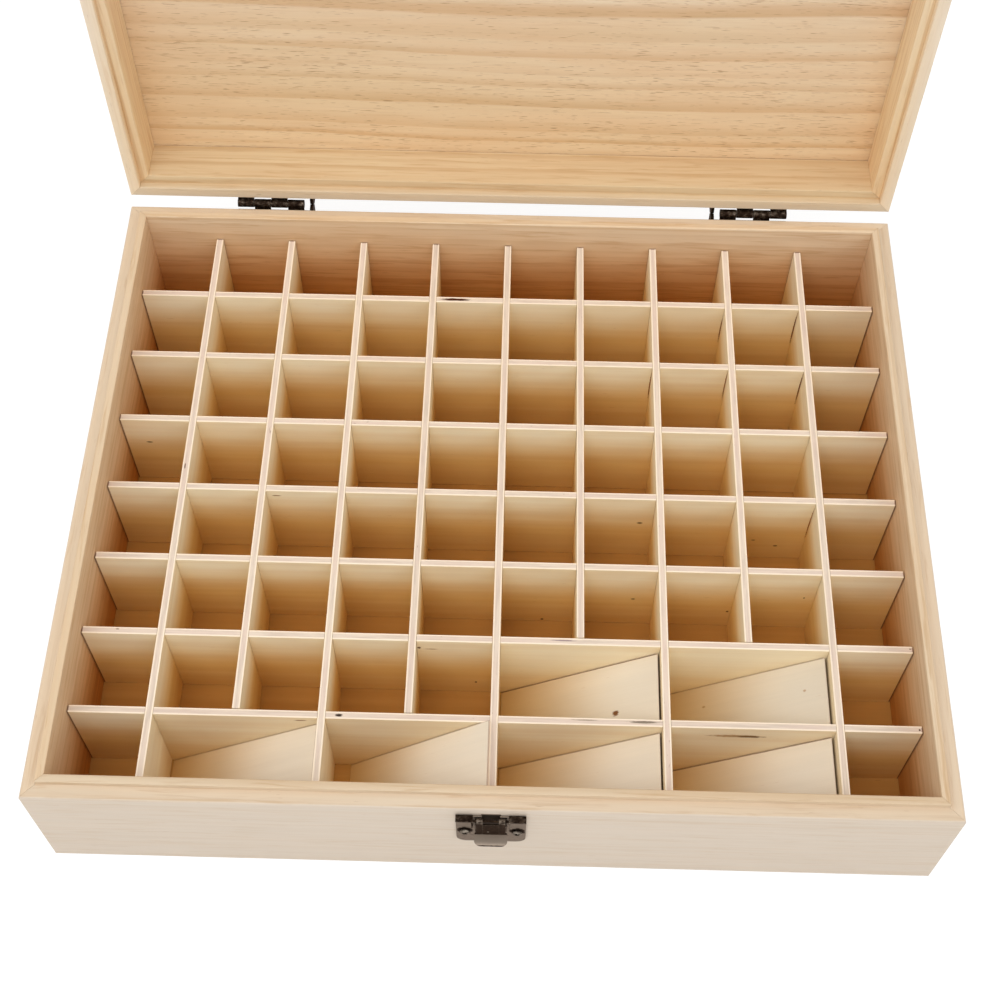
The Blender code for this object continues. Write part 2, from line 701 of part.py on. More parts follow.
def make_lever(bronze, pivot):
    """Build the lever: bent sheet, two knuckles, side folds and the window over the pin."""
    lever = add_piece("latch_lever", lever_sheet(), bronze, pivot)
    rings = bmesh.new()
    sides = bmesh.new()
    front = LATCH_AXIS.y - LEVER_RING_RADIUS
    side_front = front + LATCH_SHEET / 2
    side_back = FRONT_FACE - LATCH_FACE - SEAT_GAP
    side_top = LATCH_AXIS.z - LEVER_WINDOW_DROP / 2
    for half_side in (-1, 1):
        near = half_side * LEVER_WINDOW_HALF_WIDTH
        far = half_side * LEVER_HALF_WIDTH
        round_bar(rings, along_x, LEVER_RING_RADIUS, near, far, (LATCH_AXIS.y, LATCH_AXIS.z))
        fold = [
            (side_back, side_top), (side_front, side_top), (side_front, side_top - LEVER_SIDE_HEIGHT),
            (side_back, side_top - LEVER_SIDE_HEIGHT / 2),
        ]
        prism_into(sides, fold, along_x, half_side * (LEVER_HALF_WIDTH - LATCH_SHEET), far)
    shape_with(lever, "UNION", rings, pivot)
    shape_with(lever, "UNION", sides, pivot)
    window = rectangle(
        front - CUT_OVERRUN, LATCH_AXIS.z - LEVER_WINDOW_DROP, LATCH_AXIS.y, LATCH_AXIS.z + CUT_OVERRUN
    )
    cuts = prism(window, along_x, -LEVER_WINDOW_HALF_WIDTH, LEVER_WINDOW_HALF_WIDTH)
    shape_with(lever, "DIFFERENCE", cuts, pivot)
    bore = bmesh.new()
    bore_half = LEVER_HALF_WIDTH + CUT_OVERRUN
    bore_radius = LATCH_PIN_RADIUS + LATCH_PIN_PLAY
    round_bar(bore, along_x, bore_radius, -bore_half, bore_half, (LATCH_AXIS.y, LATCH_AXIS.z))
    shape_with(lever, "DIFFERENCE", bore, pivot)
    shade_round(lever)


def make_latch_pin(bronze):
    """Build the pin that runs through both cheeks and both knuckles."""
    half = WING_INNER + LATCH_SHEET + SEAT_GAP
    profile = [(0.0, -half), (LATCH_PIN_RADIUS, -half), (LATCH_PIN_RADIUS, half), (0.0, half)]

    def along_pin(u, v, station):
        return (station, LATCH_AXIS.y + u, LATCH_AXIS.z + v)

    pin = add_piece("latch_pin", turned(profile, along_pin), bronze)
    shade_round(pin)


def make_keeper(bronze, pivot):
    """Build the lid's keeper: a plate and the tongue that drops behind the latch pin."""
    half = KEEPER_WIDTH / 2
    top = KEEPER_BOTTOM + KEEPER_HEIGHT
    tip = LATCH_AXIS.z - TONGUE_BELOW_PIN
    outline = [
        (-TONGUE_HALF_WIDTH, tip), (TONGUE_HALF_WIDTH, tip), (TONGUE_HALF_WIDTH, KEEPER_BOTTOM),
        (half, KEEPER_BOTTOM), (half, top), (-half, top), (-half, KEEPER_BOTTOM),
        (-TONGUE_HALF_WIDTH, KEEPER_BOTTOM),
    ]
    outline = eased(outline, dict.fromkeys((3, 4, 5, 6), KEEPER_CORNER), LIP_STEPS)
    inner = FRONT_FACE - SEAT_GAP
    outer = inner - LATCH_SHEET
    keeper = add_piece("keeper_plate", prism(outline, along_y, outer, inner), bronze, pivot)
    nib_out = LATCH_AXIS.y + LATCH_PIN_RADIUS + SEAT_GAP
    nib = [(inner, tip), (nib_out, tip), (inner, tip + NIB_HEIGHT)]
    nib_body = prism(nib, along_x, -TONGUE_HALF_WIDTH, TONGUE_HALF_WIDTH)
    shape_with(keeper, "UNION", nib_body, pivot)
    shape_with(keeper, "DIFFERENCE", drill(keeper_screw_places(), outer - CUT_OVERRUN, FRONT_FACE), pivot)


def main():
    """Build the whole box."""
    clear_scene()
    pine = make_material("pine", (0.76, 0.60, 0.40), 0.55)
    lid_pine = make_material("lid_pine", (0.74, 0.55, 0.34), 0.55)
    plywood = make_material("plywood", (0.78, 0.63, 0.43), 0.65)
    bronze = make_material("bronze", (0.09, 0.06, 0.04), 0.45, 0.9)
    lid_pivot = make_pivot("lid_pivot", HINGE_AXIS, -OPEN_ANGLE)
    lever_pivot = make_pivot("lever_pivot", LATCH_AXIS)
    make_tray(pine, plywood)
    make_cross_dividers(plywood)
    make_long_dividers(plywood)
    make_ramps(plywood)
    make_lid(lid_pine, lid_pivot)
    make_hinges(bronze, lid_pivot)
    make_latch_plate(bronze)
    make_lever(bronze, lever_pivot)
    make_latch_pin(bronze)
    make_keeper(bronze, lid_pivot)
    make_screws(bronze, lid_pivot)


main()
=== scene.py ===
"""Looks of a divided storage box: pine tray and lid, plywood grid, stop hinges and a front latch.

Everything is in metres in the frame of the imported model: +X to the right, +Y towards the hinges
and +Z up. The lid's pieces are drawn shut and are then turned open about the lid's joint.
"""

from __future__ import annotations

import json
import logging
import math
import random
from dataclasses import dataclass
from enum import Enum
from typing import Any, Callable, Iterable, Sequence

import bmesh
import bpy
from mathutils import Matrix, Vector, noise

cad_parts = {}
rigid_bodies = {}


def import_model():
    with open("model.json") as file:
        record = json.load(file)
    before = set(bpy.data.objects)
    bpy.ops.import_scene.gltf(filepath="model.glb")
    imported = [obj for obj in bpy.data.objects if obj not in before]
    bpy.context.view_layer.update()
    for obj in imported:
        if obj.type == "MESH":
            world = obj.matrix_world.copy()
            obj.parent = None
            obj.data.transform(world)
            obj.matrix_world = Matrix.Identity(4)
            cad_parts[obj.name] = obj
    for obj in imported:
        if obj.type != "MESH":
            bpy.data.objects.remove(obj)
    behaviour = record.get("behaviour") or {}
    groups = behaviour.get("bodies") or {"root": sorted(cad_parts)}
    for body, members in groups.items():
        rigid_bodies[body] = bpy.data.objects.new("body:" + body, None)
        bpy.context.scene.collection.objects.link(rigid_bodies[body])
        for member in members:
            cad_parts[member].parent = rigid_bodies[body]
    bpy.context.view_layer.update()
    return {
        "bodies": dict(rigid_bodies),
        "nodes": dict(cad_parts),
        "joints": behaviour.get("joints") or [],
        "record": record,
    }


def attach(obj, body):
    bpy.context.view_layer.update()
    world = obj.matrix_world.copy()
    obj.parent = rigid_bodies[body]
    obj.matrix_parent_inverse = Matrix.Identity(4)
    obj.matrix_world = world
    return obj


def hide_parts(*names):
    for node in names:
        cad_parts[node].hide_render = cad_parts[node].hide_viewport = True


LOG = logging.getLogger("storage_box")

Place = tuple[float, float, float]
Colour = tuple[int, int, int]
Spot = tuple[Vector, Vector, float]
Turn = Callable[[Vector], Vector]


class Body(Enum):
    """The bodies that pieces ride on."""

    TRAY = "tray"
    LID = "lid"
    LEVER = "lever"


class Slot(Enum):
    """The record's material slots."""

    TRAY_PINE = "tray_pine"
    BOTTOM_PLY = "bottom_ply"
    DIVIDER_PLY = "divider_ply"
    RAMP_PLY = "ramp_ply"
    LID_PINE = "lid_pine"
    PANEL_PINE = "lid_panel_pine"
    BRONZE = "antique_bronze"
    SCREW = "screw_bronze"


class Side(Enum):
    """The four sides of the box, as quarter turns from the front."""

    FRONT = 0
    RIGHT = 1
    BACK = 2
    LEFT = 3


# Nodes


def linear(colour: Colour) -> tuple[float, float, float, float]:
    """Return a screen colour of 0 to 255 as a linear colour with alpha."""
    shares = [channel / 255.0 for channel in colour]
    values = [s / 12.92 if s <= 0.04045 else ((s + 0.055) / 1.055) ** 2.4 for s in shares]
    return (values[0], values[1], values[2], 1.0)


class NodeSheet:
    """Adds nodes to one tree and joins them."""

    def __init__(self, tree: bpy.types.NodeTree) -> None:
        """Keep the tree that the nodes go into."""
        self.tree = tree

    def feed(self, socket: bpy.types.NodeSocket, value: Any) -> None:
        """Link a socket to an input, or set the input's own value."""
        if isinstance(value, bpy.types.NodeSocket):
            self.tree.links.new(value, socket)
        else:
            socket.default_value = value

    def add(self, kind: str, inputs: dict[Any, Any] | None = None, **settings: Any) -> bpy.types.Node:
        """Add a node.

        Args:
            kind: The node's type name.
            inputs: Values or sockets for its inputs, by name or number.
            settings: Properties of the node.

        Returns:
            The new node.
        """
        node = self.tree.nodes.new(kind)
        for name, value in settings.items():
            setattr(node, name, value)
        for key, value in (inputs or {}).items():
            self.feed(node.inputs[key], value)
        return node

    def math(self, operation: str, *values: Any, clamp: bool = False) -> bpy.types.NodeSocket:
        """Return the result of a Math node."""
        inputs = dict(enumerate(values))
        return self.add("ShaderNodeMath", inputs, operation=operation, use_clamp=clamp).outputs[0]

    def span(self, value: Any, low: float, high: float, start: float = 0.0, end: float = 1.0) -> Any:
        """Return a value carried smoothly from one range to another and clamped there."""
        inputs = {0: value, 1: low, 2: high, 3: start, 4: end}
        node = self.add("ShaderNodeMapRange", inputs, interpolation_type="SMOOTHSTEP")
        return node.outputs[0]

    def mix(self, share: Any, first: Any, second: Any, blend: str = "MIX") -> bpy.types.NodeSocket:
        """Return a mix of two colours."""
        inputs = {0: share, 6: first, 7: second}
        node = self.add("ShaderNodeMix", inputs, data_type="RGBA", blend_type=blend, clamp_result=True)
        return node.outputs[2]

    def scaled(self, vector: Any, scale: Place) -> bpy.types.NodeSocket:
        """Return a vector times a scale for each axis."""
        node = self.add("ShaderNodeVectorMath", {0: vector, 1: scale}, operation="MULTIPLY")
        return node.outputs[0]

    def grain(
        self, vector: Any, scale: Place, detail: float = 2.0, rough: float = 0.5, bend: float = 0.0
    ) -> bpy.types.NodeSocket:
        """Return noise whose cells are stretched by a scale for each axis, in cells for each metre."""
        inputs = {"Vector": self.scaled(vector, scale), "Scale": 1.0, "Detail": detail}
        inputs.update({"Roughness": rough, "Distortion": bend})
        return self.add("ShaderNodeTexNoise", inputs).outputs[0]

    def attribute(self, name: str) -> bpy.types.Node:
        """Return an Attribute node for one of the meshes' own attributes."""
        return self.add("ShaderNodeAttribute", attribute_name=name)


class EffectGroup:
    """A shader node group that is built once and placed in any number of materials."""

    name = "Effect"
    sockets_in: tuple[tuple[str, str, Any], ...] = ()
    sockets_out: tuple[tuple[str, str], ...] = ()

    def tree(self) -> bpy.types.NodeTree:
        """Return the group's tree, building it the first time."""
        made = bpy.data.node_groups.get(self.name)
        if made:
            return made
        made = bpy.data.node_groups.new(self.name, "ShaderNodeTree")
        for name, kind, value in self.sockets_in:
            socket = made.interface.new_socket(name, in_out="INPUT", socket_type=kind)
            if value is not None:
                socket.default_value = value
        for name, kind in self.sockets_out:
            made.interface.new_socket(name, in_out="OUTPUT", socket_type=kind)
        sheet = NodeSheet(made)
        given = sheet.add("NodeGroupInput").outputs
        results = self.draw(sheet, given)
        end = sheet.add("NodeGroupOutput")
        for name, _ in self.sockets_out:
            sheet.feed(end.inputs[name], results[name])
        return made

    def draw(self, sheet: NodeSheet, given: Any) -> dict[str, Any]:
        """Add the group's nodes and return its results by name."""
        raise NotImplementedError

    def place(self, sheet: NodeSheet, inputs: dict[str, Any]) -> Any:
        """Place the group in a material.

        Args:
            sheet: The material's node sheet.
            inputs: Values or sockets for the group's inputs.

        Returns:
            The placed group's outputs.
        """
        node = sheet.add("ShaderNodeGroup", node_tree=self.tree())
        for name, value in inputs.items():
            sheet.feed(node.inputs[name], value)
        return node.outputs


class GrowthRings(EffectGroup):
    """Growth rings about a pith that lies along the board, from its own wood coordinates."""

    name = "Growth rings"
    sockets_in = (
        ("Vector", "NodeSocketVector", None),
        ("Spacing", "NodeSocketFloat", 0.004),
        ("Wander", "NodeSocketFloat", 0.01),
    )
    sockets_out = (("Late Wood", "NodeSocketFloat"), ("Bands", "NodeSocketFloat"))

    def draw(self, sheet: NodeSheet, given: Any) -> dict[str, Any]:
        """Return the dark late wood of each ring and the broad bands of tone."""
        wave = sheet.grain(given["Vector"], (2.2, 9.0, 9.0), 1.0)
        ripple = sheet.grain(given["Vector"], (9.0, 42.0, 42.0), 2.0)
        both = sheet.math("ADD", sheet.math("SUBTRACT", wave, 0.5), sheet.math("MULTIPLY", ripple, 0.16))
        shift = sheet.math("MULTIPLY", both, given["Wander"])
        parts = sheet.add("ShaderNodeSeparateXYZ", {0: given["Vector"]}).outputs
        across = sheet.math("ADD", parts[1], shift)
        radius = sheet.math("SQRT", sheet.math(
            "ADD", sheet.math("MULTIPLY", across, across), sheet.math("MULTIPLY", parts[2], parts[2])
        ))
        count = sheet.math("DIVIDE", radius, given["Spacing"])
        uneven = sheet.add("ShaderNodeTexNoise", {"W": count, "Scale": 0.23}, noise_dimensions="1D")
        count = sheet.math("MULTIPLY_ADD", uneven.outputs[0], 2.6, count)
        phase = sheet.math("FRACT", count)
        rise = sheet.span(phase, 0.30, 0.90)
        fall = sheet.span(phase, 0.92, 1.0, 1.0, 0.0)
        number = sheet.math("FLOOR", count)
        chance = sheet.add("ShaderNodeTexWhiteNoise", {"W": number}, noise_dimensions="1D").outputs[0]
        strength = sheet.span(chance, 0.0, 1.0, 0.25, 1.0)
        late = sheet.math("MULTIPLY", sheet.math("MULTIPLY", rise, fall), strength)
        along = sheet.add("ShaderNodeCombineXYZ", {0: sheet.math("MULTIPLY", parts[0], 1.5), 1: sheet.math(
            "MULTIPLY", count, 0.31
        )}).outputs[0]
        bands = sheet.add("ShaderNodeTexNoise", {"Vector": along, "Scale": 1.0, "Detail": 2.0}).outputs[0]
        return {"Late Wood": late, "Bands": sheet.span(bands, 0.3, 0.7)}


class FibreAndPores(EffectGroup):
    """Fine fibres along the board, short resin dashes, wavy figure, clouds of hue and a height."""

    name = "Fibre and pores"
    sockets_in = (("Vector", "NodeSocketVector", None), ("Pore Share", "NodeSocketFloat", 0.3))
    sockets_out = (
        ("Fibre", "NodeSocketFloat"),
        ("Pores", "NodeSocketFloat"),
        ("Figure", "NodeSocketFloat"),
        ("Cloud", "NodeSocketFloat"),
        ("Height", "NodeSocketFloat"),
    )

    def draw(self, sheet: NodeSheet, given: Any) -> dict[str, Any]:
        """Return the fibres, the dashes, the figure, the clouds and the height."""
        vector = given["Vector"]
        coarse = sheet.grain(vector, (14.0, 420.0, 420.0), 3.0, 0.62)
        fine = sheet.grain(vector, (55.0, 2600.0, 2600.0), 2.0, 0.6)
        fibre = sheet.math("MULTIPLY_ADD", fine, 0.4, sheet.math("MULTIPLY", coarse, 0.6))
        dashes = sheet.grain(vector, (170.0, 2600.0, 2600.0), 1.0, 0.5)
        patches = sheet.span(sheet.grain(vector, (11.0, 42.0, 42.0), 2.0, 0.55), 0.36, 0.64)
        floor = sheet.math("MULTIPLY_ADD", given["Pore Share"], -0.16, 0.82)
        marks = sheet.math("SUBTRACT", dashes, sheet.math("MULTIPLY_ADD", patches, -0.05, floor))
        pores = sheet.span(marks, 0.0, 0.09)
        figure = sheet.span(sheet.grain(vector, (30.0, 520.0, 520.0), 3.0, 0.6, 0.9), 0.48, 0.72)
        cloud = sheet.span(sheet.grain(vector, (9.0, 38.0, 38.0), 3.0, 0.6, 0.4), 0.36, 0.64)
        height = sheet.math("SUBTRACT", fibre, sheet.math("MULTIPLY", pores, 0.8))
        return {"Fibre": fibre, "Pores": pores, "Figure": figure, "Cloud": cloud, "Height": height}


class SawnEdge(EffectGroup):
    """Long streaks, clouds of hue and rare torn flecks of a sawn plywood edge."""

    name = "Sawn edge"
    sockets_in = (("Vector", "NodeSocketVector", None),)
    sockets_out = (
        ("Streaks", "NodeSocketFloat"),
        ("Cloud", "NodeSocketFloat"),
        ("Flecks", "NodeSocketFloat"),
        ("Height", "NodeSocketFloat"),
    )

    def draw(self, sheet: NodeSheet, given: Any) -> dict[str, Any]:
        """Return the streaks, the clouds, the flecks and the height."""
        streaks = sheet.grain(given["Vector"], (70.0, 500.0, 1000.0), 3.0, 0.6)
        cloud = sheet.grain(given["Vector"], (26.0, 26.0, 26.0), 2.0, 0.6)
        torn = sheet.grain(given["Vector"], (300.0, 500.0, 1100.0), 2.0, 0.55)
        flecks = sheet.span(sheet.math("MULTIPLY_ADD", cloud, 0.4, torn), 0.92, 1.04)
        height = sheet.math("SUBTRACT", streaks, flecks)
        return {
            "Streaks": sheet.span(streaks, 0.40, 0.66), "Cloud": sheet.span(cloud, 0.36, 0.64),
            "Flecks": flecks, "Height": height,
        }


class RubbedMetal(EffectGroup):
    """Where a dark patina has rubbed through: edges, high spots and mottled patches; where the given value is low the
    patina stays, which also paints shade.
    """

    name = "Rubbed metal"
    sockets_in = (
        ("Vector", "NodeSocketVector", None),
        ("Rub", "NodeSocketFloat", 0.0),
        ("Edge Radius", "NodeSocketFloat", 0.0002),
    )
    sockets_out = (
        ("Bare", "NodeSocketFloat"),
        ("Mottle", "NodeSocketFloat"),
        ("Height", "NodeSocketFloat"),
    )

    def draw(self, sheet: NodeSheet, given: Any) -> dict[str, Any]:
        """Return the bare metal, the patina's mottle and the height."""
        rounded = sheet.add("ShaderNodeBevel", {"Radius": given["Edge Radius"]}, samples=4).outputs[0]
        true_normal = sheet.add("ShaderNodeNewGeometry").outputs["Normal"]
        agreement = sheet.add("ShaderNodeVectorMath", {0: rounded, 1: true_normal}, operation="DOT_PRODUCT")
        edges = sheet.span(agreement.outputs["Value"], 0.90, 0.995, 1.0, 0.0)
        blotch = sheet.grain(given["Vector"], (480.0, 480.0, 620.0), 4.0, 0.68)
        grit = sheet.grain(given["Vector"], (1500.0, 1500.0, 2800.0), 2.0, 0.6)
        patches = sheet.span(sheet.math("MULTIPLY_ADD", given["Rub"], 0.62, blotch), 0.66, 1.06)
        worn_edge = sheet.math("MULTIPLY", edges, sheet.span(blotch, 0.35, 0.6, 0.25, 0.9))
        worn_edge = sheet.math("MULTIPLY", worn_edge, sheet.span(given["Rub"], -1.0, 0.0))
        bare = sheet.math("MAXIMUM", patches, worn_edge)
        mottle = sheet.math("MULTIPLY_ADD", grit, 0.5, sheet.math("MULTIPLY", blotch, 0.5))
        return {"Bare": bare, "Mottle": mottle, "Height": sheet.math("MULTIPLY_ADD", grit, 0.3, blotch)}


class Blemish(EffectGroup):
    """A dark mark with a ragged edge at one place in the wood."""

    name = "Blemish"
    sockets_in = (
        ("Vector", "NodeSocketVector", None),
        ("Place", "NodeSocketVector", None),
        ("Shares", "NodeSocketVector", None),
    )
    sockets_out = (("Mark", "NodeSocketFloat"),)

    def draw(self, sheet: NodeSheet, given: Any) -> dict[str, Any]:
        """Return 1 inside the mark and 0 outside it."""
        away = sheet.add(
            "ShaderNodeVectorMath", {0: given["Vector"], 1: given["Place"]}, operation="SUBTRACT"
        ).outputs[0]
        stretched = sheet.add("ShaderNodeVectorMath", {0: away, 1: given["Shares"]}, operation="MULTIPLY")
        length = sheet.add(
            "ShaderNodeVectorMath", {0: stretched.outputs[0]}, operation="LENGTH"
        ).outputs["Value"]
        ragged = sheet.grain(given["Vector"], (500.0, 1500.0, 1500.0), 2.0, 0.6)
        reach = sheet.math("MULTIPLY_ADD", ragged, 0.9, sheet.math("SUBTRACT", length, 0.45))
        return {"Mark": sheet.span(reach, 0.5, 1.1, 1.0, 0.0)}


RINGS = GrowthRings()
FIBRES = FibreAndPores()
EDGE = SawnEdge()
RUBBED = RubbedMetal()
BLEMISH = Blemish()


# Finishes


Started = tuple[bpy.types.Material, NodeSheet, bpy.types.Node]


def start_material(name: str, roughness: float, specular: float) -> Started:
    """Return a new material, its node sheet and its Principled shader.

    Args:
        name: The material's name.
        roughness: The shader's plain roughness.
        specular: The shader's specular level.

    Returns:
        The material, its sheet and its shader node.
    """
    material = bpy.data.materials.new(name)
    material.use_nodes = True
    shader = material.node_tree.nodes["Principled BSDF"]
    shader.inputs["Roughness"].default_value = roughness
    shader.inputs["Specular IOR Level"].default_value = specular
    return material, NodeSheet(material.node_tree), shader


def shaded(sheet: NodeSheet, colour: Any, light: Any) -> bpy.types.NodeSocket:
    """Return a colour times its light and the piece's tone, turned to a dark brown painted gap shadow where its wear
    and painted light value is below 0.
    """
    dark = sheet.math("MULTIPLY", sheet.attribute("rub").outputs["Fac"], -1.0, clamp=True)
    shade = sheet.math("ADD", light, sheet.attribute("tone").outputs["Fac"])
    tint = sheet.add("ShaderNodeCombineColor", {0: shade, 1: shade, 2: shade}).outputs[0]
    # Painted shadow: the dark brown (118, 54, 6) stands in for the shade in the gaps at the boards' ends and edges.
    return sheet.mix(dark, sheet.mix(1.0, colour, tint, "MULTIPLY"), linear((118, 54, 6)))


@dataclass(frozen=True)
class PaintedDepthShade:
    """Painted shade: a warm darkening that the wood's colour takes on down between the boards and low on the open lid.
    """

    colour: Colour
    start: float = 0.08
    full: float = 0.62

    def over(self, sheet: NodeSheet, colour: Any) -> bpy.types.NodeSocket:
        """Return a colour with the painted shade over it where the piece lies deep."""
        depth = sheet.attribute("depth").outputs["Fac"]
        warm = sheet.mix(sheet.span(depth, self.start, self.full), (1.0, 1.0, 1.0, 1.0), linear(self.colour))
        return sheet.mix(1.0, colour, warm, "MULTIPLY")


def cut_from(seed: float) -> Vector:
    """Return where in the log a board begins, so that no two boards look alike."""
    return Vector((1.9 * seed, 0.37 * seed, 0.11 * seed))


def cross_seed(row: int) -> float:
    """Return the seed of a cross divider."""
    return 1.31 * row


def long_seed(column: int) -> float:
    """Return the seed of a long divider."""
    return 20.0 + 1.17 * column


def sloping_seed(number: int) -> float:
    """Return the seed of a sloping board."""
    return 40.0 + 1.43 * number


@dataclass(frozen=True)
class Stain:
    """A knot, streak or speck at one place on one board, given along, up or across, and through."""

    board_seed: float
    place: Place
    half: Place
    colour: Colour

    def over(self, sheet: NodeSheet, wood: Any, colour: Any) -> bpy.types.NodeSocket:
        """Return a colour with the stain over it."""
        place = cut_from(self.board_seed) + Vector(self.place)
        shares = tuple(1.0 / half for half in self.half)
        mark = BLEMISH.place(sheet, {"Vector": wood, "Place": place, "Shares": shares})["Mark"]
        return sheet.mix(mark, colour, linear(self.colour))


@dataclass(frozen=True)
class PineFinish:
    """Bare sanded pine with growth rings, fibres and resin dashes."""

    name: str
    early: Colour
    late: Colour
    band: Colour
    skin: Colour
    pore: Colour
    blush: Colour = (224, 186, 150)
    spacing: float = 0.0032
    wander: float = 0.012
    late_share: float = 0.5
    band_share: float = 0.4
    pore_share: float = 0.35
    pore_depth: float = 0.5
    figure_share: float = 0.5
    roughness: float = 0.58
    calm_share: float = 1.0
    deep: PaintedDepthShade = PaintedDepthShade((244, 192, 118), -0.5, 0.95)

    def material(self) -> bpy.types.Material:
        """Return the finish as a material."""
        material, sheet, shader = start_material(self.name, self.roughness, 0.22)
        wood = sheet.attribute("timber").outputs["Vector"]
        rub = sheet.attribute("rub").outputs["Fac"]
        rings = RINGS.place(sheet, {"Vector": wood, "Spacing": self.spacing, "Wander": self.wander})
        fibres = FIBRES.place(sheet, {"Vector": wood, "Pore Share": self.pore_share})
        # The depth attribute is the mask of the painted shade; it also sets how strongly the grain shows.
        depth = sheet.attribute("depth").outputs["Fac"]
        calm = sheet.span(depth, 0.0, 0.35, 1.0, self.calm_share)
        late = sheet.math("MULTIPLY", rings["Late Wood"], sheet.math("MULTIPLY", calm, self.late_share))
        colour = sheet.mix(late, linear(self.early), linear(self.late))
        bands = sheet.math("MULTIPLY", rings["Bands"], self.band_share)
        colour = sheet.mix(bands, colour, linear(self.band))
        colour = sheet.mix(sheet.math("MULTIPLY", fibres["Cloud"], 0.35), colour, linear(self.blush))
        figure = sheet.math("MULTIPLY", fibres["Figure"], sheet.math("MULTIPLY", calm, self.figure_share))
        colour = sheet.mix(figure, colour, linear(self.late))
        quiet = sheet.math("MULTIPLY_ADD", figure, 0.45, sheet.math("MULTIPLY", late, 0.22))
        skinned = sheet.mix(quiet, linear(self.skin), linear(self.band))
        colour = sheet.mix(sheet.math("MULTIPLY", rub, 0.85), colour, skinned)
        pores = sheet.math("MULTIPLY", fibres["Pores"], sheet.math("MULTIPLY", calm, self.pore_depth))
        colour = sheet.mix(pores, colour, linear(self.pore))
        light = sheet.math("MULTIPLY_ADD", sheet.math("SUBTRACT", fibres["Fibre"], 0.5), 0.16, 1.0)
        # Painted shade: the colour darkens and warms down in the box.
        sheet.feed(shader.inputs["Base Color"], self.deep.over(sheet, shaded(sheet, colour, light)))
        dull = sheet.math("MULTIPLY_ADD", fibres["Fibre"], 0.16, self.roughness - 0.08)
        sheet.feed(shader.inputs["Roughness"], dull)
        bump = sheet.add("ShaderNodeBump", {"Strength": 0.35, "Distance": 0.00012, "Height": fibres["Height"]})
        sheet.feed(shader.inputs["Normal"], bump.outputs[0])
        return material


@dataclass(frozen=True)
class VeneerFinish:
    """The pale peeled face veneer of plywood, with bright sawn edges that carry a painted highlight."""

    name: str
    pale: Colour
    warm: Colour
    fleck: Colour
    edge: Colour = (255, 238, 216)
    figure: float = 0.5
    fleck_share: float = 0.25
    roughness: float = 0.62
    deep: PaintedDepthShade = PaintedDepthShade((254, 227, 170))
    stains: tuple[Stain, ...] = ()

    def material(self) -> bpy.types.Material:
        """Return the finish as a material."""
        material, sheet, shader = start_material(self.name, self.roughness, 0.12)
        wood = sheet.attribute("timber").outputs["Vector"]
        fibres = FIBRES.place(sheet, {"Vector": wood, "Pore Share": self.fleck_share})
        broad = sheet.grain(wood, (5.0, 190.0, 60.0), 2.0, 0.55)
        cloud = sheet.grain(wood, (16.0, 24.0, 24.0), 3.0, 0.6)
        figure = sheet.span(sheet.math("MULTIPLY_ADD", cloud, 0.5, sheet.math("MULTIPLY", broad, 0.5)), 0.36, 0.64)
        colour = sheet.mix(sheet.math("MULTIPLY", figure, self.figure), linear(self.pale), linear(self.warm))
        colour = sheet.mix(sheet.math("MULTIPLY", fibres["Pores"], 0.45), colour, linear(self.fleck))
        for stain in self.stains:
            colour = stain.over(sheet, wood, colour)
        rub = sheet.attribute("rub").outputs["Fac"]
        # The veneers' pale sawn tops, brightened further as a painted highlight on the rounded arris.
        colour = sheet.mix(sheet.span(rub, 0.3, 1.0), colour, linear(self.edge))
        light = sheet.math("MULTIPLY_ADD", sheet.math("SUBTRACT", fibres["Fibre"], 0.5), 0.12, 1.0)
        # Painted shade: the colour darkens and warms down in the box.
        sheet.feed(shader.inputs["Base Color"], self.deep.over(sheet, shaded(sheet, colour, light)))
        dull = sheet.math("MULTIPLY_ADD", fibres["Fibre"], 0.14, self.roughness - 0.07)
        sheet.feed(shader.inputs["Roughness"], dull)
        bump = sheet.add("ShaderNodeBump", {"Strength": 0.25, "Distance": 0.0001, "Height": fibres["Height"]})
        sheet.feed(shader.inputs["Normal"], bump.outputs[0])
        return material


@dataclass(frozen=True)
class CoreFinish:
    """The sawn middle ply, with streaks and flecks."""

    name: str
    pale: Colour
    grey: Colour
    pink: Colour
    dark: Colour
    roughness: float = 0.8
    stains: tuple[Stain, ...] = ()

    def material(self) -> bpy.types.Material:
        """Return the finish as a material."""
        material, sheet, shader = start_material(self.name, self.roughness, 0.2)
        wood = sheet.attribute("timber").outputs["Vector"]
        edge = EDGE.place(sheet, {"Vector": wood})
        colour = sheet.mix(sheet.math("MULTIPLY", edge["Streaks"], 0.6), linear(self.pale), linear(self.grey))
        colour = sheet.mix(sheet.math("MULTIPLY", edge["Cloud"], 0.5), colour, linear(self.pink))
        colour = sheet.mix(sheet.math("MULTIPLY", edge["Flecks"], 0.55), colour, linear(self.dark))
        for stain in self.stains:
            colour = stain.over(sheet, wood, colour)
        sheet.feed(shader.inputs["Base Color"], shaded(sheet, colour, 1.0))
        bump = sheet.add("ShaderNodeBump", {"Strength": 0.5, "Distance": 0.00015, "Height": edge["Height"]})
        sheet.feed(shader.inputs["Normal"], bump.outputs[0])
        return material


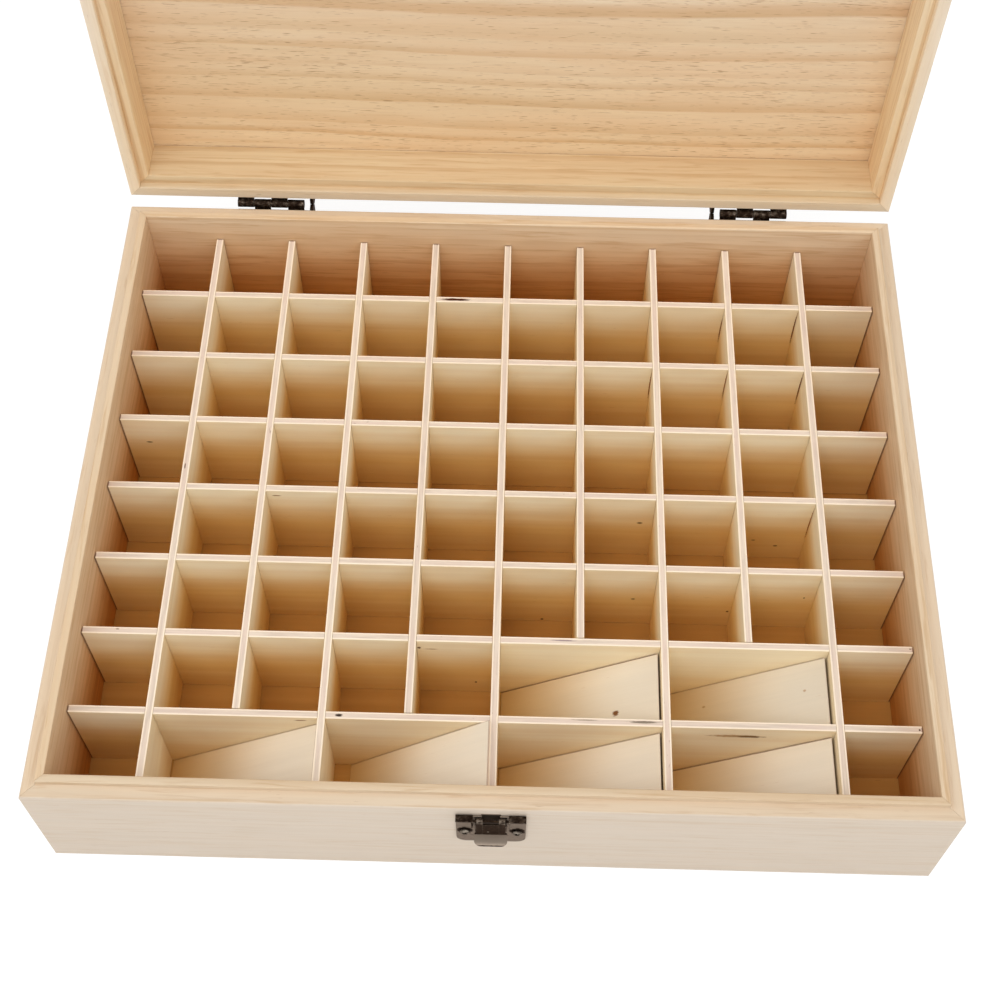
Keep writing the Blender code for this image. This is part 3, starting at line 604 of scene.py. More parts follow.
@dataclass(frozen=True)
class BronzeFinish:
    """Antique bronze: a dark patina that has rubbed through to grey-brown metal."""

    name: str
    patina: Colour
    mottle: Colour
    bare: Colour
    roughness: float = 0.42
    edge_radius: float = 0.00018

    def material(self) -> bpy.types.Material:
        """Return the finish as a material."""
        material, sheet, shader = start_material(self.name, self.roughness, 0.2)
        shader.inputs["Metallic"].default_value = 1.0
        shader.inputs["Specular Tint"].default_value = (0.72, 0.64, 0.6, 1.0)
        place = sheet.add("ShaderNodeTexCoord").outputs["Object"]
        rub = sheet.attribute("rub").outputs["Fac"]
        metal = RUBBED.place(sheet, {"Vector": place, "Rub": rub, "Edge Radius": self.edge_radius})
        colour = sheet.mix(sheet.span(metal["Mottle"], 0.40, 0.66), linear(self.patina), linear(self.mottle))
        colour = sheet.mix(metal["Bare"], colour, linear(self.bare))
        sheet.feed(shader.inputs["Base Color"], colour)
        sheet.feed(shader.inputs["Roughness"], sheet.span(
            metal["Bare"], 0.0, 1.0, self.roughness + 0.16, self.roughness + 0.04
        ))
        bump = sheet.add("ShaderNodeBump", {"Strength": 0.45, "Distance": 0.00008, "Height": metal["Height"]})
        sheet.feed(shader.inputs["Normal"], bump.outputs[0])
        return material


FACE_MARKS = (
    (7, 0.0938, 0.0418, 0.0125, 0.0013, (184, 152, 110)),
    (7, 0.0985, 0.0416, 0.0056, 0.0011, (126, 98, 64)),
    (7, -0.0745, 0.0462, 0.0030, 0.0005, (156, 120, 80)),
    (6, -0.0083, 0.0124, 0.0005, 0.0007, (100, 58, 32)),
    (6, -0.0306, 0.0430, 0.0008, 0.0010, (110, 80, 50)),
    (6, -0.0260, 0.0420, 0.0030, 0.0004, (176, 140, 98)),
    (5, 0.1265, 0.0295, 0.0005, 0.0006, (96, 62, 34)),
    (5, 0.0187, 0.0047, 0.0007, 0.0007, (92, 56, 28)),
    (5, 0.0561, 0.0249, 0.0009, 0.0005, (110, 72, 38)),
    (5, 0.0964, 0.0158, 0.0007, 0.0007, (100, 60, 30)),
    (4, -0.0937, 0.0451, 0.0022, 0.0004, (140, 105, 58)),
    (4, 0.0590, 0.0300, 0.0014, 0.0007, (112, 80, 38)),
    (4, 0.1090, 0.0180, 0.0010, 0.0004, (104, 70, 34)),
    (4, 0.1190, 0.0135, 0.0011, 0.0007, (120, 80, 40)),
    (4, 0.1307, 0.0330, 0.0004, 0.0130, (166, 104, 50)),
    (3, -0.1537, 0.0320, 0.0016, 0.0005, (92, 54, 24)),
    (2, 0.0645, 0.0355, 0.0004, 0.0110, (150, 90, 40)),
    (2, 0.0976, 0.0370, 0.0004, 0.0110, (150, 90, 40)),
    (2, 0.1307, 0.0360, 0.0005, 0.0125, (120, 62, 20)),
    (1, 0.0976, 0.0330, 0.0004, 0.0100, (136, 76, 28)),
    (1, 0.1307, 0.0350, 0.0005, 0.0120, (120, 62, 20)),
)
TOP_MARKS = (
    (cross_seed(7), 0.0578, 0.0003, 0.0065, 0.0006, (142, 128, 110)),
    (cross_seed(7), 0.0345, 0.0006, 0.0060, 0.0003, (168, 150, 130)),
    (cross_seed(7), -0.0594, 0.0, 0.0016, 0.0007, (58, 42, 32)),
    (cross_seed(7), 0.1626, 0.0, 0.0004, 0.0004, (66, 44, 26)),
    (cross_seed(6), 0.0268, 0.0004, 0.0055, 0.0004, (164, 144, 142)),
    (cross_seed(6), -0.1497, 0.0006, 0.0008, 0.0003, (150, 118, 98)),
    (cross_seed(6), 0.1626, 0.0004, 0.0006, 0.0003, (120, 92, 66)),
    (cross_seed(1), -0.0228, 0.0001, 0.0078, 0.0008, (70, 30, 8)),
    (long_seed(1), 0.0098, 0.0004, 0.0018, 0.0003, (106, 78, 56)),
)


def face_stain(row: int, along: float, up: float, half: float, half_up: float, colour: Colour) -> Stain:
    """Return a mark on the front face of a cross divider."""
    return Stain(cross_seed(row), (along, up, -0.0015), (half, half_up, 0.001), colour)


def top_stain(seed: float, along: float, through: float, half: float, half_through: float, colour: Colour) -> Stain:
    """Return a mark on the sawn top of a divider."""
    return Stain(seed, (along, 0.0487, through), (half, 0.003, half_through), colour)


@dataclass(frozen=True)
class Palette:
    """Every finish of the box."""

    tray: PineFinish = PineFinish(
        "pine_of_tray", early=(229, 208, 179), late=(198, 161, 118), band=(215, 186, 148),
        skin=(230, 216, 200), pore=(168, 130, 92), blush=(222, 190, 152), spacing=0.0034,
        late_share=0.5, band_share=0.5, pore_depth=0.45, figure_share=0.55, calm_share=1.2,
    )
    lid: PineFinish = PineFinish(
        "pine_of_lid", early=(237, 217, 184), late=(204, 166, 120), band=(222, 196, 157),
        skin=(234, 220, 202), pore=(160, 120, 80), blush=(224, 190, 152), spacing=0.0034,
        late_share=0.55, band_share=0.5, pore_depth=0.45, figure_share=0.5,
        deep=PaintedDepthShade((255, 250, 240), 0.0, 1.0),
    )
    panel: PineFinish = PineFinish(
        "pine_of_panel", early=(243, 226, 202), late=(204, 163, 116), band=(222, 195, 156),
        skin=(230, 210, 180), pore=(150, 104, 62), blush=(232, 199, 164), spacing=0.0095,
        wander=0.03, late_share=1.0, band_share=0.6, pore_share=0.95, pore_depth=0.75,
        figure_share=0.22, calm_share=0.75, deep=PaintedDepthShade((255, 247, 230), 0.0, 1.0),
    )
    divider: VeneerFinish = VeneerFinish(
        "veneer_of_dividers", pale=(246, 232, 200), warm=(232, 205, 161), fleck=(176, 134, 88),
        figure=0.5, stains=tuple(face_stain(*mark) for mark in FACE_MARKS),
    )
    core: CoreFinish = CoreFinish(
        "core_of_dividers", pale=(234, 217, 198), grey=(207, 189, 172), pink=(226, 201, 186),
        dark=(150, 118, 94), stains=tuple(top_stain(*mark) for mark in TOP_MARKS),
    )
    ramp: VeneerFinish = VeneerFinish(
        "veneer_of_ramps", pale=(237, 224, 203), warm=(227, 209, 181), fleck=(190, 150, 106),
        figure=0.2, deep=PaintedDepthShade((245, 213, 152), 0.12, 0.5), stains=(
            Stain(sloping_seed(1), (0.0543, -0.0909, 0.0), (0.0017, 0.0014, 0.001), (128, 84, 48)),
            Stain(sloping_seed(2), (0.0639, -0.0815, 0.0), (0.0008, 0.0006, 0.001), (205, 174, 142)),
            Stain(sloping_seed(2), (0.0198, -0.0787, 0.0), (0.0009, 0.0006, 0.001), (206, 178, 142)),
        ),
    )
    # The bottom's darker, more orange colours are painted shade of the cell floors, on top of the painted depth shade.
    bottom: VeneerFinish = VeneerFinish(
        "veneer_of_bottom", pale=(210, 174, 126), warm=(194, 154, 104), fleck=(140, 100, 62),
    )
    bronze: BronzeFinish = BronzeFinish(
        "bronze_patina", patina=(29, 20, 15), mottle=(60, 47, 36), bare=(128, 116, 104),
    )
    screw: BronzeFinish = BronzeFinish(
        "screw_metal", patina=(38, 30, 24), mottle=(84, 74, 63), bare=(146, 136, 124), roughness=0.38,
    )


# Mesh drawing


class Draft:
    """A mesh while it is drawn: points with wood coordinates, tone, and wear and painted light, and faces with a
    finish.
    """

    def __init__(self) -> None:
        """Start with an empty mesh."""
        self.points: list[Vector] = []
        self.timber: list[Vector] = []
        self.rub: list[float] = []
        self.faces: list[tuple[int, ...]] = []
        self.finishes: list[int] = []

    def point(self, place: Vector, timber: Vector = Vector(), rub: float = 0.0) -> int:
        """Add a point and return its number."""
        self.points.append(Vector(place))
        self.timber.append(Vector(timber))
        self.rub.append(rub)
        return len(self.points) - 1

    def face(self, corners: Iterable[int], finish: int = 0) -> None:
        """Add a face."""
        self.faces.append(tuple(corners))
        self.finishes.append(finish)

    def sweep(self, rings: Sequence[Sequence[int]], finish: int = 0, caps: bool = True) -> None:
        """Join rings of equal length by quads.

        Args:
            rings: The rings' point numbers.
            finish: The faces' finish number.
            caps: Whether the first and the last ring are closed.
        """
        for near, far in zip(rings, rings[1:]):
            for number in range(len(near)):
                after = (number + 1) % len(near)
                self.face((near[number], near[after], far[after], far[number]), finish)
        if caps:
            self.face(reversed(rings[0]), finish)
            self.face(rings[-1], finish)

    def move(self, turn: Turn, first: int = 0) -> None:
        """Carry every point from the given one on by a function."""
        for number in range(first, len(self.points)):
            self.points[number] = turn(self.points[number])

    def slab(
        self,
        us: Sequence[float],
        vs: Sequence[float],
        present: Callable[[int, int], bool],
        place: Callable[[float, float, int], Spot],
        finish: int = 0,
    ) -> None:
        """Add a closed sheet: a grid of cells with a front, a back and edges round what is present.

        Args:
            us: The grid's stations along the sheet.
            vs: The grid's stations across the sheet.
            present: Says whether the cell with this number along and across is there.
            place: Returns the place, wood coordinates and wear and painted light value of a grid point on side 0 or 1.
            finish: The faces' finish number.
        """
        made: dict[tuple[int, int, int], int] = {}

        def corner(along: int, across: int, side: int) -> int:
            """Return the number of a grid point, adding it the first time."""
            key = (along, across, side)
            if key not in made:
                made[key] = self.point(*place(us[along], vs[across], side))
            return made[key]

        def there(along: int, across: int) -> bool:
            """Say whether a cell is inside the grid and present."""
            inside = 0 <= along < len(us) - 1 and 0 <= across < len(vs) - 1
            return inside and present(along, across)

        for i in range(len(us) - 1):
            for j in range(len(vs) - 1):
                if not there(i, j):
                    continue
                loop = ((i, j), (i + 1, j), (i + 1, j + 1), (i, j + 1))
                self.face([corner(a, b, 0) for a, b in loop], finish)
                self.face([corner(a, b, 1) for a, b in reversed(loop)], finish)
                beside = ((i, j - 1), (i + 1, j), (i, j + 1), (i - 1, j))
                for number, neighbour in enumerate(beside):
                    if not there(*neighbour):
                        start, end = loop[number], loop[(number + 1) % 4]
                        self.face((corner(*start, 0), corner(*start, 1), corner(*end, 1), corner(*end, 0)), finish)

    def mesh(self, name: str, tone: float, shade_depths: Sequence[float]) -> bpy.types.Mesh:
        """Return the finished mesh with its faces pointing out.

        Args:
            name: The mesh's name.
            tone: How much lighter or darker than its finish the whole piece is.
            shade_depths: How deep in the box each point lies, from 0 to 1, which sets the painted shade.

        Returns:
            The mesh, shaded smooth with sharp corners.
        """
        mesh = bpy.data.meshes.new(name)
        mesh.from_pydata(self.points, [], self.faces)
        mesh.attributes.new("timber", "FLOAT_VECTOR", "POINT").data.foreach_set(
            "vector", [number for place in self.timber for number in place]
        )
        # The depth attribute carries the mask of the painted shade.
        values = {"rub": self.rub, "depth": shade_depths, "tone": [tone] * len(self.points)}
        for attribute, numbers in values.items():
            mesh.attributes.new(attribute, "FLOAT", "POINT").data.foreach_set("value", numbers)
        mesh.polygons.foreach_set("material_index", self.finishes)
        body = bmesh.new()
        body.from_mesh(mesh)
        bmesh.ops.recalc_face_normals(body, faces=body.faces)
        body.to_mesh(mesh)
        body.free()
        mesh.shade_smooth()
        mesh.set_sharp_from_angle(angle=math.radians(32.0))
        return mesh


def eased(outline: Sequence[tuple[float, float]], radii: dict[int, float], steps: int = 4) -> list[tuple[float, float]]:
    """Round the corners of a closed outline.

    Args:
        outline: The corners.
        radii: The radius of each rounded corner, by the corner's number.
        steps: The number of chords in each rounded corner.

    Returns:
        The points of the eased outline.
    """
    points: list[tuple[float, float]] = []
    for number, corner in enumerate(outline):
        radius = radii.get(number, 0.0)
        if radius == 0.0:
            points.append(corner)
            continue
        here = Vector(corner)
        back = (Vector(outline[number - 1]) - here).normalized()
        ahead = (Vector(outline[(number + 1) % len(outline)]) - here).normalized()
        half_angle = back.angle(ahead) / 2
        centre = here + (back + ahead).normalized() * (radius / math.sin(half_angle))
        start = here + back * (radius / math.tan(half_angle)) - centre
        turn = (math.pi - 2 * half_angle) * (1 if back.cross(ahead) < 0 else -1)
        for step in range(steps + 1):
            spoke = Matrix.Rotation(turn * step / steps, 2) @ start
            points.append(tuple(centre + spoke))
    return points


def stations(low: float, high: float, step: float, marks: Iterable[float] = ()) -> list[float]:
    """Return evenly spread stations from low to high with some marks among them.

    Args:
        low: The first station.
        high: The last station.
        step: The widest distance between stations.
        marks: Places that must be stations too.

    Returns:
        The stations in order.
    """
    fixed = sorted({low, high, *marks})
    found = [low]
    for start, end in zip(fixed, fixed[1:]):
        count = max(1, math.ceil((end - start) / step - 0.001))
        found += [start + (end - start) * number / count for number in range(1, count + 1)]
    return found


def wobble(x: float, y: float, z: float = 0.0) -> float:
    """Return smooth noise from -1 to 1 at a place given in noise cells."""
    return noise.noise(Vector((x, y, z)))


def shade_depth_in_box(place: Vector) -> float:
    """Return how deep a place lies for the painted shade, from 0 at the dividers' tops to 1 at the floor, less in the
    double cells, and -1 outside.
    """
    sizes = BoxSizes()
    half_width = sizes.width / 2 - sizes.wall_thickness + sizes.seat_gap
    half_depth = sizes.depth / 2 - sizes.wall_thickness + sizes.seat_gap
    if abs(place.x) > half_width or abs(place.y) > half_depth or place.z < sizes.bottom_thickness - 1e-5:
        return -1.0
    depth = min(1.0, (sizes.divider_top - place.z) / (sizes.divider_top - sizes.divider_foot))
    return depth * (sizes.double_depth_share if sizes.in_double_cell(place) else 1.0)


def shade_depth_on_lid(place: Vector) -> float:
    """Return how near the hinges a place on the open lid lies, from 0 half way up to 1 at the bottom, for the painted
    shade there.
    """
    return min(1.0, max(0.0, (0.2 - place.z) / 0.12))


def unmoved(place: Vector) -> Vector:
    """Leave a place as it is."""
    return place


class Bench:
    """Turns drafts into pieces of the scene, dresses them and hands them to the frame."""

    def __init__(self, frame: dict[str, Any], palette: Palette) -> None:
        """Read the joints and make the palette's materials.

        Args:
            palette: The finishes of the box.
        """
        self.joints = {joint["name"]: joint for joint in frame["joints"]}
        self.finishes = {name: getattr(palette, name).material() for name in Palette.__dataclass_fields__}
        self.count = 0

    def opened(self, joint_name: str) -> Turn:
        """Return the function that turns a place from shut to the frame's rest about a joint."""
        joint = self.joints[joint_name]
        centre = Vector(joint["pos_m"])
        angle = math.radians(joint["range_deg"][1])
        turn = Matrix.Rotation(-angle, 3, Vector(joint["axis"]))
        return lambda place: centre + turn @ (place - centre)

    def add(
        self, name: str, draft: Draft, body: Body, finishes: Sequence[str], slot: Slot,
        nodes: Sequence[str], tone: float = 0.0,
    ) -> bpy.types.Object:
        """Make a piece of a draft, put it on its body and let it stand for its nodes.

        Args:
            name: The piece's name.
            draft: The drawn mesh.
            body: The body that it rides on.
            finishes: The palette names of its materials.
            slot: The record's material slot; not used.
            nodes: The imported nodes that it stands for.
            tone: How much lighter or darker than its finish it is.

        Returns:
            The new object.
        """
        # Mask of the painted shade: depth in the box, or nearness to the hinges on the open lid.
        inside = shade_depth_in_box if body is Body.TRAY else shade_depth_on_lid
        piece = bpy.data.objects.new(name, draft.mesh(name, tone, [inside(p) for p in draft.points]))
        bpy.context.scene.collection.objects.link(piece)
        for finish in finishes:
            piece.data.materials.append(self.finishes[finish])
        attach(piece, body.value)
        if nodes:
            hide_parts(*nodes)
        self.count += 1
        LOG.info("%s: %d points on %s", name, len(draft.points), body.value)
        return piece


def round_edges(piece: bpy.types.Object, width: float, segments: int = 2, angle: float = 35.0) -> None:
    """Give a piece's corners a small radius."""
    bevel = piece.modifiers.new("rounded_edges", "BEVEL")
    bevel.width = width
    bevel.segments = segments
    bevel.limit_method = "ANGLE"
    bevel.angle_limit = math.radians(angle)
    bevel.use_clamp_overlap = True
    bevel.miter_outer = "MITER_ARC"


# Sub-assemblies


@dataclass
class BoxSizes:
    """Sizes that several sub-assemblies share."""

    width: float = 0.345
    depth: float = 0.285
    wall_height: float = 0.0604
    wall_thickness: float = 0.0085
    seat_gap: float = 0.0003
    joint_gap: float = 0.00012
    parting_gap: float = 0.0004
    bottom_thickness: float = 0.003
    board_thickness: float = 0.003
    divider_height: float = 0.0455
    columns: int = 10
    rows: int = 8
    double_cells: tuple[tuple[int, int], ...] = ((7, 6), (7, 8), (8, 2), (8, 4), (8, 6), (8, 8))
    # How much of the painted shade the double cells take.
    double_depth_share: float = 0.45

    @property
    def front(self) -> float:
        """Return the Y of the front face."""
        return -self.depth / 2

    @property
    def back(self) -> float:
        """Return the Y of the back face."""
        return self.depth / 2

    @property
    def divider_foot(self) -> float:
        """Return the height that the boards stand on."""
        return self.bottom_thickness + self.seat_gap

    @property
    def divider_top(self) -> float:
        """Return the height of the dividers' tops."""
        return self.divider_foot + self.divider_height

    @property
    def cell_width(self) -> float:
        """Return the clear width of a cell."""
        inner = self.width - 2 * self.wall_thickness
        return (inner - (self.columns - 1) * self.board_thickness) / self.columns

    @property
    def cell_depth(self) -> float:
        """Return the clear depth of a cell."""
        inner = self.depth - 2 * self.wall_thickness
        return (inner - (self.rows - 1) * self.board_thickness) / self.rows

    def column_line(self, number: int) -> float:
        """Return the X of a long divider's middle, counted from the left wall."""
        start = -self.width / 2 + self.wall_thickness - self.board_thickness / 2
        return start + number * (self.cell_width + self.board_thickness)

    def row_line(self, number: int) -> float:
        """Return the Y of a cross divider's middle, counted from the back wall."""
        start = self.depth / 2 - self.wall_thickness + self.board_thickness / 2
        return start - number * (self.cell_depth + self.board_thickness)


    def in_double_cell(self, place: Vector) -> bool:
        """Say whether a place lies in one of the double cells, given by row and left-hand column."""
        slack = self.board_thickness / 2 - self.seat_gap
        for row, column in self.double_cells:
            along = self.column_line(column - 1) + slack < place.x < self.column_line(column + 1) - slack
            if along and self.row_line(row) + slack < place.y < self.row_line(row - 1) - slack:
                return True
        return False


@dataclass
class MitredFrame:
    """Four mitred boards of one profile round the box."""

    sizes: BoxSizes
    profile: list[tuple[float, float]]
    rim: float
    rim_rub: float = 0.0
    arris_wear: float = 0.00009
    station_step: float = 0.004
    pith_depth: float = 0.11

    def draw(self, side: Side, seed: float) -> Draft:
        """Draw one board.

        Args:
            side: The side of the box that it stands on.
            seed: A number that picks its part of the log.

        Returns:
            The drawn board, in its place.
        """
        crosswise = side in (Side.FRONT, Side.BACK)
        length = self.sizes.width if crosswise else self.sizes.depth
        reach = (self.sizes.depth if crosswise else self.sizes.width) / 2
        turn = Matrix.Rotation(math.pi / 2 * side.value, 3, "Z")
        draft = Draft()
        rings = []
        for station in stations(-1.0, 1.0, 2 * self.station_step / length):
            ring = []
            for depth, height in self.profile:
                along = station * (length / 2 - depth - self.sizes.joint_gap / 2)
                worn = self.arris_wear * max(0.0, wobble(along * 90.0, height * 400.0, seed + depth * 400.0))
                inward = 1.0 if depth < self.sizes.wall_thickness / 2 else -1.0
                place = turn @ Vector((along, depth + inward * worn - reach, height))
                wood = Vector((along + seed * 7.3, height + 0.02 + 0.01 * seed, depth + self.pith_depth))
                rub = 1.0 if depth < 0.0004 else self.rim_rub if abs(height - self.rim) < 0.0006 else 0.0
                ring.append(draft.point(place, wood, rub))
            rings.append(ring)
        draft.sweep(rings)
        return draft


@dataclass
class Tray:
    """The tray's four walls and its bottom."""

    sizes: BoxSizes
    ledge_width: float = 0.0053
    lip_height: float = 0.0026
    outer_arris: float = 0.0009
    small_arris: float = 0.0004
    bottom_rebate: float = 0.0045

    def profile(self) -> list[tuple[float, float]]:
        """Return the walls' profile as depth from the outer face and height."""
        sizes = self.sizes
        rim = sizes.wall_height + self.lip_height
        seat = sizes.wall_thickness - self.bottom_rebate
        outline = [
            (0.0, 0.0), (0.0, sizes.wall_height), (self.ledge_width, sizes.wall_height),
            (self.ledge_width, rim), (sizes.wall_thickness, rim), (sizes.wall_thickness, sizes.divider_top),
            (sizes.wall_thickness, sizes.divider_top * 0.6), (sizes.wall_thickness, sizes.divider_foot),
            (seat, sizes.divider_foot), (seat, 0.0),
        ]
        small = self.small_arris
        return eased(outline, {0: small, 1: self.outer_arris, 2: small / 2, 3: small, 4: small, 9: small / 2})

    def build(self, bench: Bench) -> None:
        """Build the walls and the bottom."""
        frame = MitredFrame(self.sizes, self.profile(), self.sizes.wall_height, 0.3)
        # Whole-wall tones: partly board-to-board difference, partly painted shade and light by side; the front wall is
        # darkest.
        tones = {Side.FRONT: -0.09, Side.RIGHT: -0.02, Side.BACK: 0.03, Side.LEFT: 0.01}
        for side, tone in tones.items():
            name = side.name.lower()
            draft = frame.draw(side, 1.7 + side.value)
            node = "base_" + name + "_wall"
            bench.add("tray_" + name + "_wall", draft, Body.TRAY, ["tray"], Slot.TRAY_PINE, [node], tone)
        inset = self.sizes.wall_thickness - self.bottom_rebate + self.sizes.seat_gap
        draft = Draft()
        half_width = self.sizes.width / 2 - inset
        half_depth = self.sizes.depth / 2 - inset
        thickness = self.sizes.bottom_thickness

        def place(u: float, v: float, side: int) -> Spot:
            """Place a point of the bottom's upper or lower face."""
            height = thickness if side else 0.0
            return Vector((u, v, height)), Vector((u + 3.0, v + 0.3, height)), 0.0

        covered = self.bottom_rebate - self.sizes.seat_gap
        us = stations(-half_width, half_width, 0.04, (covered - half_width, half_width - covered))
        vs = stations(-half_depth, half_depth, 0.04, (covered - half_depth, half_depth - covered))
        draft.slab(us, vs, lambda i, j: True, place)
        bench.add("tray_bottom", draft, Body.TRAY, ["bottom"], Slot.BOTTOM_PLY, ["base_bottom_panel"])


@dataclass
class PlyBoard:
    """A board of three plies on edge, with halving slots."""

    low: float
    high: float
    foot: float
    top: float
    thickness: float
    slots: Sequence[float]
    slots_from_top: bool
    slot_half_width: float = 0.00162
    veneer: float = 0.00062
    glue_line: float = 0.00002
    arris: float = 0.00016
    core_recess: float = 0.00007
    fray: float = 0.00009
    end_strip: float = 0.0005
    low_shade: float = 1.0
    high_shade: float = 1.0
    step: float = 0.0022

    def draw(self, seed: float, turn: Turn) -> Draft:
        """Draw the board along its own X, standing on edge, and carry it to its place.

        Args:
            seed: A number that picks its part of the log and its rough edge.
            turn: Carries a place on the board into the frame.

        Returns:
            The drawn board with the veneers as finish 0 and the middle ply as finish 1.
        """
        draft = Draft()
        marks = [slot + half * self.slot_half_width for slot in self.slots for half in (-1, 1)]
        marks += [self.low + self.end_strip, self.high - self.end_strip]
        us = stations(self.low, self.high, self.step, marks)
        middle = (self.foot + self.top) / 2
        vs = stations(self.foot, middle, 0.008) + stations(middle, self.top - self.arris, 0.006)[1:] + [self.top]
        outer = self.thickness / 2
        inner = outer - self.veneer

        def present(i: int, j: int) -> bool:
            """Leave out the cells that lie in a slot."""
            station = (us[i] + us[i + 1]) / 2
            slotted = any(abs(station - slot) < self.slot_half_width for slot in self.slots)
            return not (slotted and (vs[j] > middle - 1e-6) == self.slots_from_top)

        layers = ((-outer, -inner - self.glue_line, 0), (-inner, inner, 1), (inner + self.glue_line, outer, 0))
        for number, (back, front, finish) in enumerate(layers):

            def place(u: float, v: float, side: int, back: float = back, front: float = front) -> Spot:
                """Place a point of one ply."""
                through = front if side else back
                height = v
                is_core = back == -inner
                # The veneers' tops take the bright edge colour, partly a painted highlight.
                rub = 0.0 if is_core or v < self.top else 1.0
                # Painted shadow: the ends take a dark strip for the shade in the gaps at the walls.
                if u in (self.low, self.high):
                    rub = -(self.low_shade if u == self.low else self.high_shade)
                if v == self.top:
                    rough = 0.5 + 0.5 * wobble(u * 520.0, seed, through * 900.0)
                    height -= self.fray * rough + (self.core_recess if is_core else 0.0)
                    if not is_core and abs(through) == outer:
                        through -= math.copysign(self.arris * 0.6, through)
                return Vector((u, through, height)), cut_from(seed) + Vector((u, height, through)), rub

            draft.slab(us, vs, present, place, finish)
        draft.move(turn)
        return draft


@dataclass
class DividerGrid:
    """The cross dividers and the long dividers, halved into each other."""

    sizes: BoxSizes
    end_gap: float = 0.0003
    wall_gap: float = 0.0003
    front_reach: tuple[int, ...] = (8, 7, 8, 7, 8, 6, 8, 6, 8)
    tone_spread: float = 0.03

    def build(self, bench: Bench) -> None:
        """Build every divider."""
        chance = random.Random(11)
        for row in range(1, self.sizes.rows):
            tone = chance.uniform(-self.tone_spread, self.tone_spread)
            self.cross_divider(bench, row, tone)
        for column in range(1, self.sizes.columns):
            tone = chance.uniform(-self.tone_spread, self.tone_spread)
            self.long_divider(bench, column, tone)

    def cross_divider(self, bench: Bench, row: int, tone: float) -> None:
        """Build a divider that runs from left to right, slotted from above."""
        sizes = self.sizes
        half = sizes.width / 2 - sizes.wall_thickness - self.wall_gap
        slots = [sizes.column_line(n) for n, reach in enumerate(self.front_reach, 1) if reach > row]
        board = PlyBoard(
            -half, half, sizes.divider_foot, sizes.divider_top, sizes.board_thickness, slots, True
        )
        shift = Vector((0.0, sizes.row_line(row), 0.0))
        draft = board.draw(cross_seed(row), lambda place: place + shift)
        node = "cross_divider_" + str(row)
        bench.add(
            node + "_board", draft, Body.TRAY, ["divider", "core"], Slot.DIVIDER_PLY, [node], tone
        )

    def long_divider(self, bench: Bench, column: int, tone: float) -> None:
        """Build a divider that runs from front to back, slotted from below."""
        sizes = self.sizes
        reach = self.front_reach[column - 1]
        high = sizes.depth / 2 - sizes.wall_thickness - self.end_gap
        low = sizes.row_line(reach) + sizes.board_thickness / 2 + self.end_gap
        slots = [sizes.row_line(row) for row in range(1, reach)]
        board = PlyBoard(
            low, high, sizes.divider_foot, sizes.divider_top, sizes.board_thickness, slots, False, low_shade=0.1
        )
        middle = sizes.column_line(column)
        draft = board.draw(long_seed(column), lambda place: Vector((middle - place.y, place.x, place.z)))
        node = "long_divider_" + str(column)
        bench.add(
            node + "_board", draft, Body.TRAY, ["divider", "core"], Slot.DIVIDER_PLY, [node], tone
        )


@dataclass
class SlopingBoards:
    """The boards that lean in the six double cells."""

    sizes: BoxSizes
    rise: float = 0.04025
    toe_gap: float = 0.0007
    side_gap: float = 0.0003
    slip: float = 0.006
    slipped: int = 4
    head_gaps: tuple[float, ...] = (0.0008, 0.001, 0.0006, 0.0004, 0.0008, 0.001)
    rear_shades: tuple[float, ...] = (1.0, 0.35, 0.3, 0.4, 0.55, 0.9)
    # Per-board tones: partly board-to-board difference, partly painted shade on the boards that lie in darker parts of
    # the box.
    tones: tuple[float, ...] = (-0.03, -0.1, 0.0, 0.01, 0.0, -0.02)
    veneer: float = 0.0007
    edge_strip: float = 0.0004
    head_shade: float = 0.6

    def build(self, bench: Bench) -> None:
        """Build every sloping board."""
        for number, tone in enumerate(self.tones, 1):
            node = "ramp_board_" + str(number)
            name = "sloping_board_" + str(number)
            bench.add(name, self.board(number), Body.TRAY, ["ramp", "core"], Slot.RAMP_PLY, [node], tone)

    def board(self, number: int) -> Draft:
        """Draw the board of one double cell, with its toe cut level and its head cut upright."""
        sizes = self.sizes
        row, column = sizes.double_cells[number - 1]
        slip = self.slip if number == self.slipped else 0.0
        head_gap = self.head_gaps[number - 1]
        seed = sloping_seed(number)
        shade = self.rear_shades[number - 1]
        thickness = sizes.board_thickness
        run = 2 * sizes.cell_width + thickness - self.toe_gap - head_gap
        length = math.hypot(run, self.rise)
        slope = math.atan2(self.rise, run)
        lift = math.acos((run - slip) / length)
        toe = sizes.column_line(column - 1) + thickness / 2 + self.toe_gap + slip
        low = sizes.row_line(row) + thickness / 2 + self.side_gap
        high = sizes.row_line(row - 1) - thickness / 2 - self.side_gap
        draft = Draft()
        vs = stations(low, high, 0.01, [high - self.edge_strip])
        us = stations(0.0, 1.0, 0.1, [1.0 - self.edge_strip / length])
        edges = (0.0, self.veneer, thickness - self.veneer, thickness)
        for ply, finish in enumerate((0, 1, 0)):

            def place(u: float, v: float, side: int, layer: int = ply) -> Spot:
                """Place a point of one ply."""
                under = edges[layer + side]
                start = under / math.tan(slope)
                end = length - under * math.tan(slope)
                along = start + (end - start) * u
                point = Matrix.Rotation(lift, 2) @ Vector((along, -under))
                wood = cut_from(seed) + Vector((along, v, under))
                place = Vector((toe + point.x, v, sizes.divider_foot + point.y))
                if layer == 1 and v in (low, high):
                    place.y += 0.00006 if v == low else -0.00006
                # Painted shadow: dark strips along the head and the rear edge of the top face, for the shade in the
                # gaps there.
                dark = self.head_shade if u == 1.0 else shade if v == high else 0.0
                return place, wood, -dark if under == 0.0 else 0.0

            draft.slab(us, vs, lambda i, j: True, place, finish)
        return draft


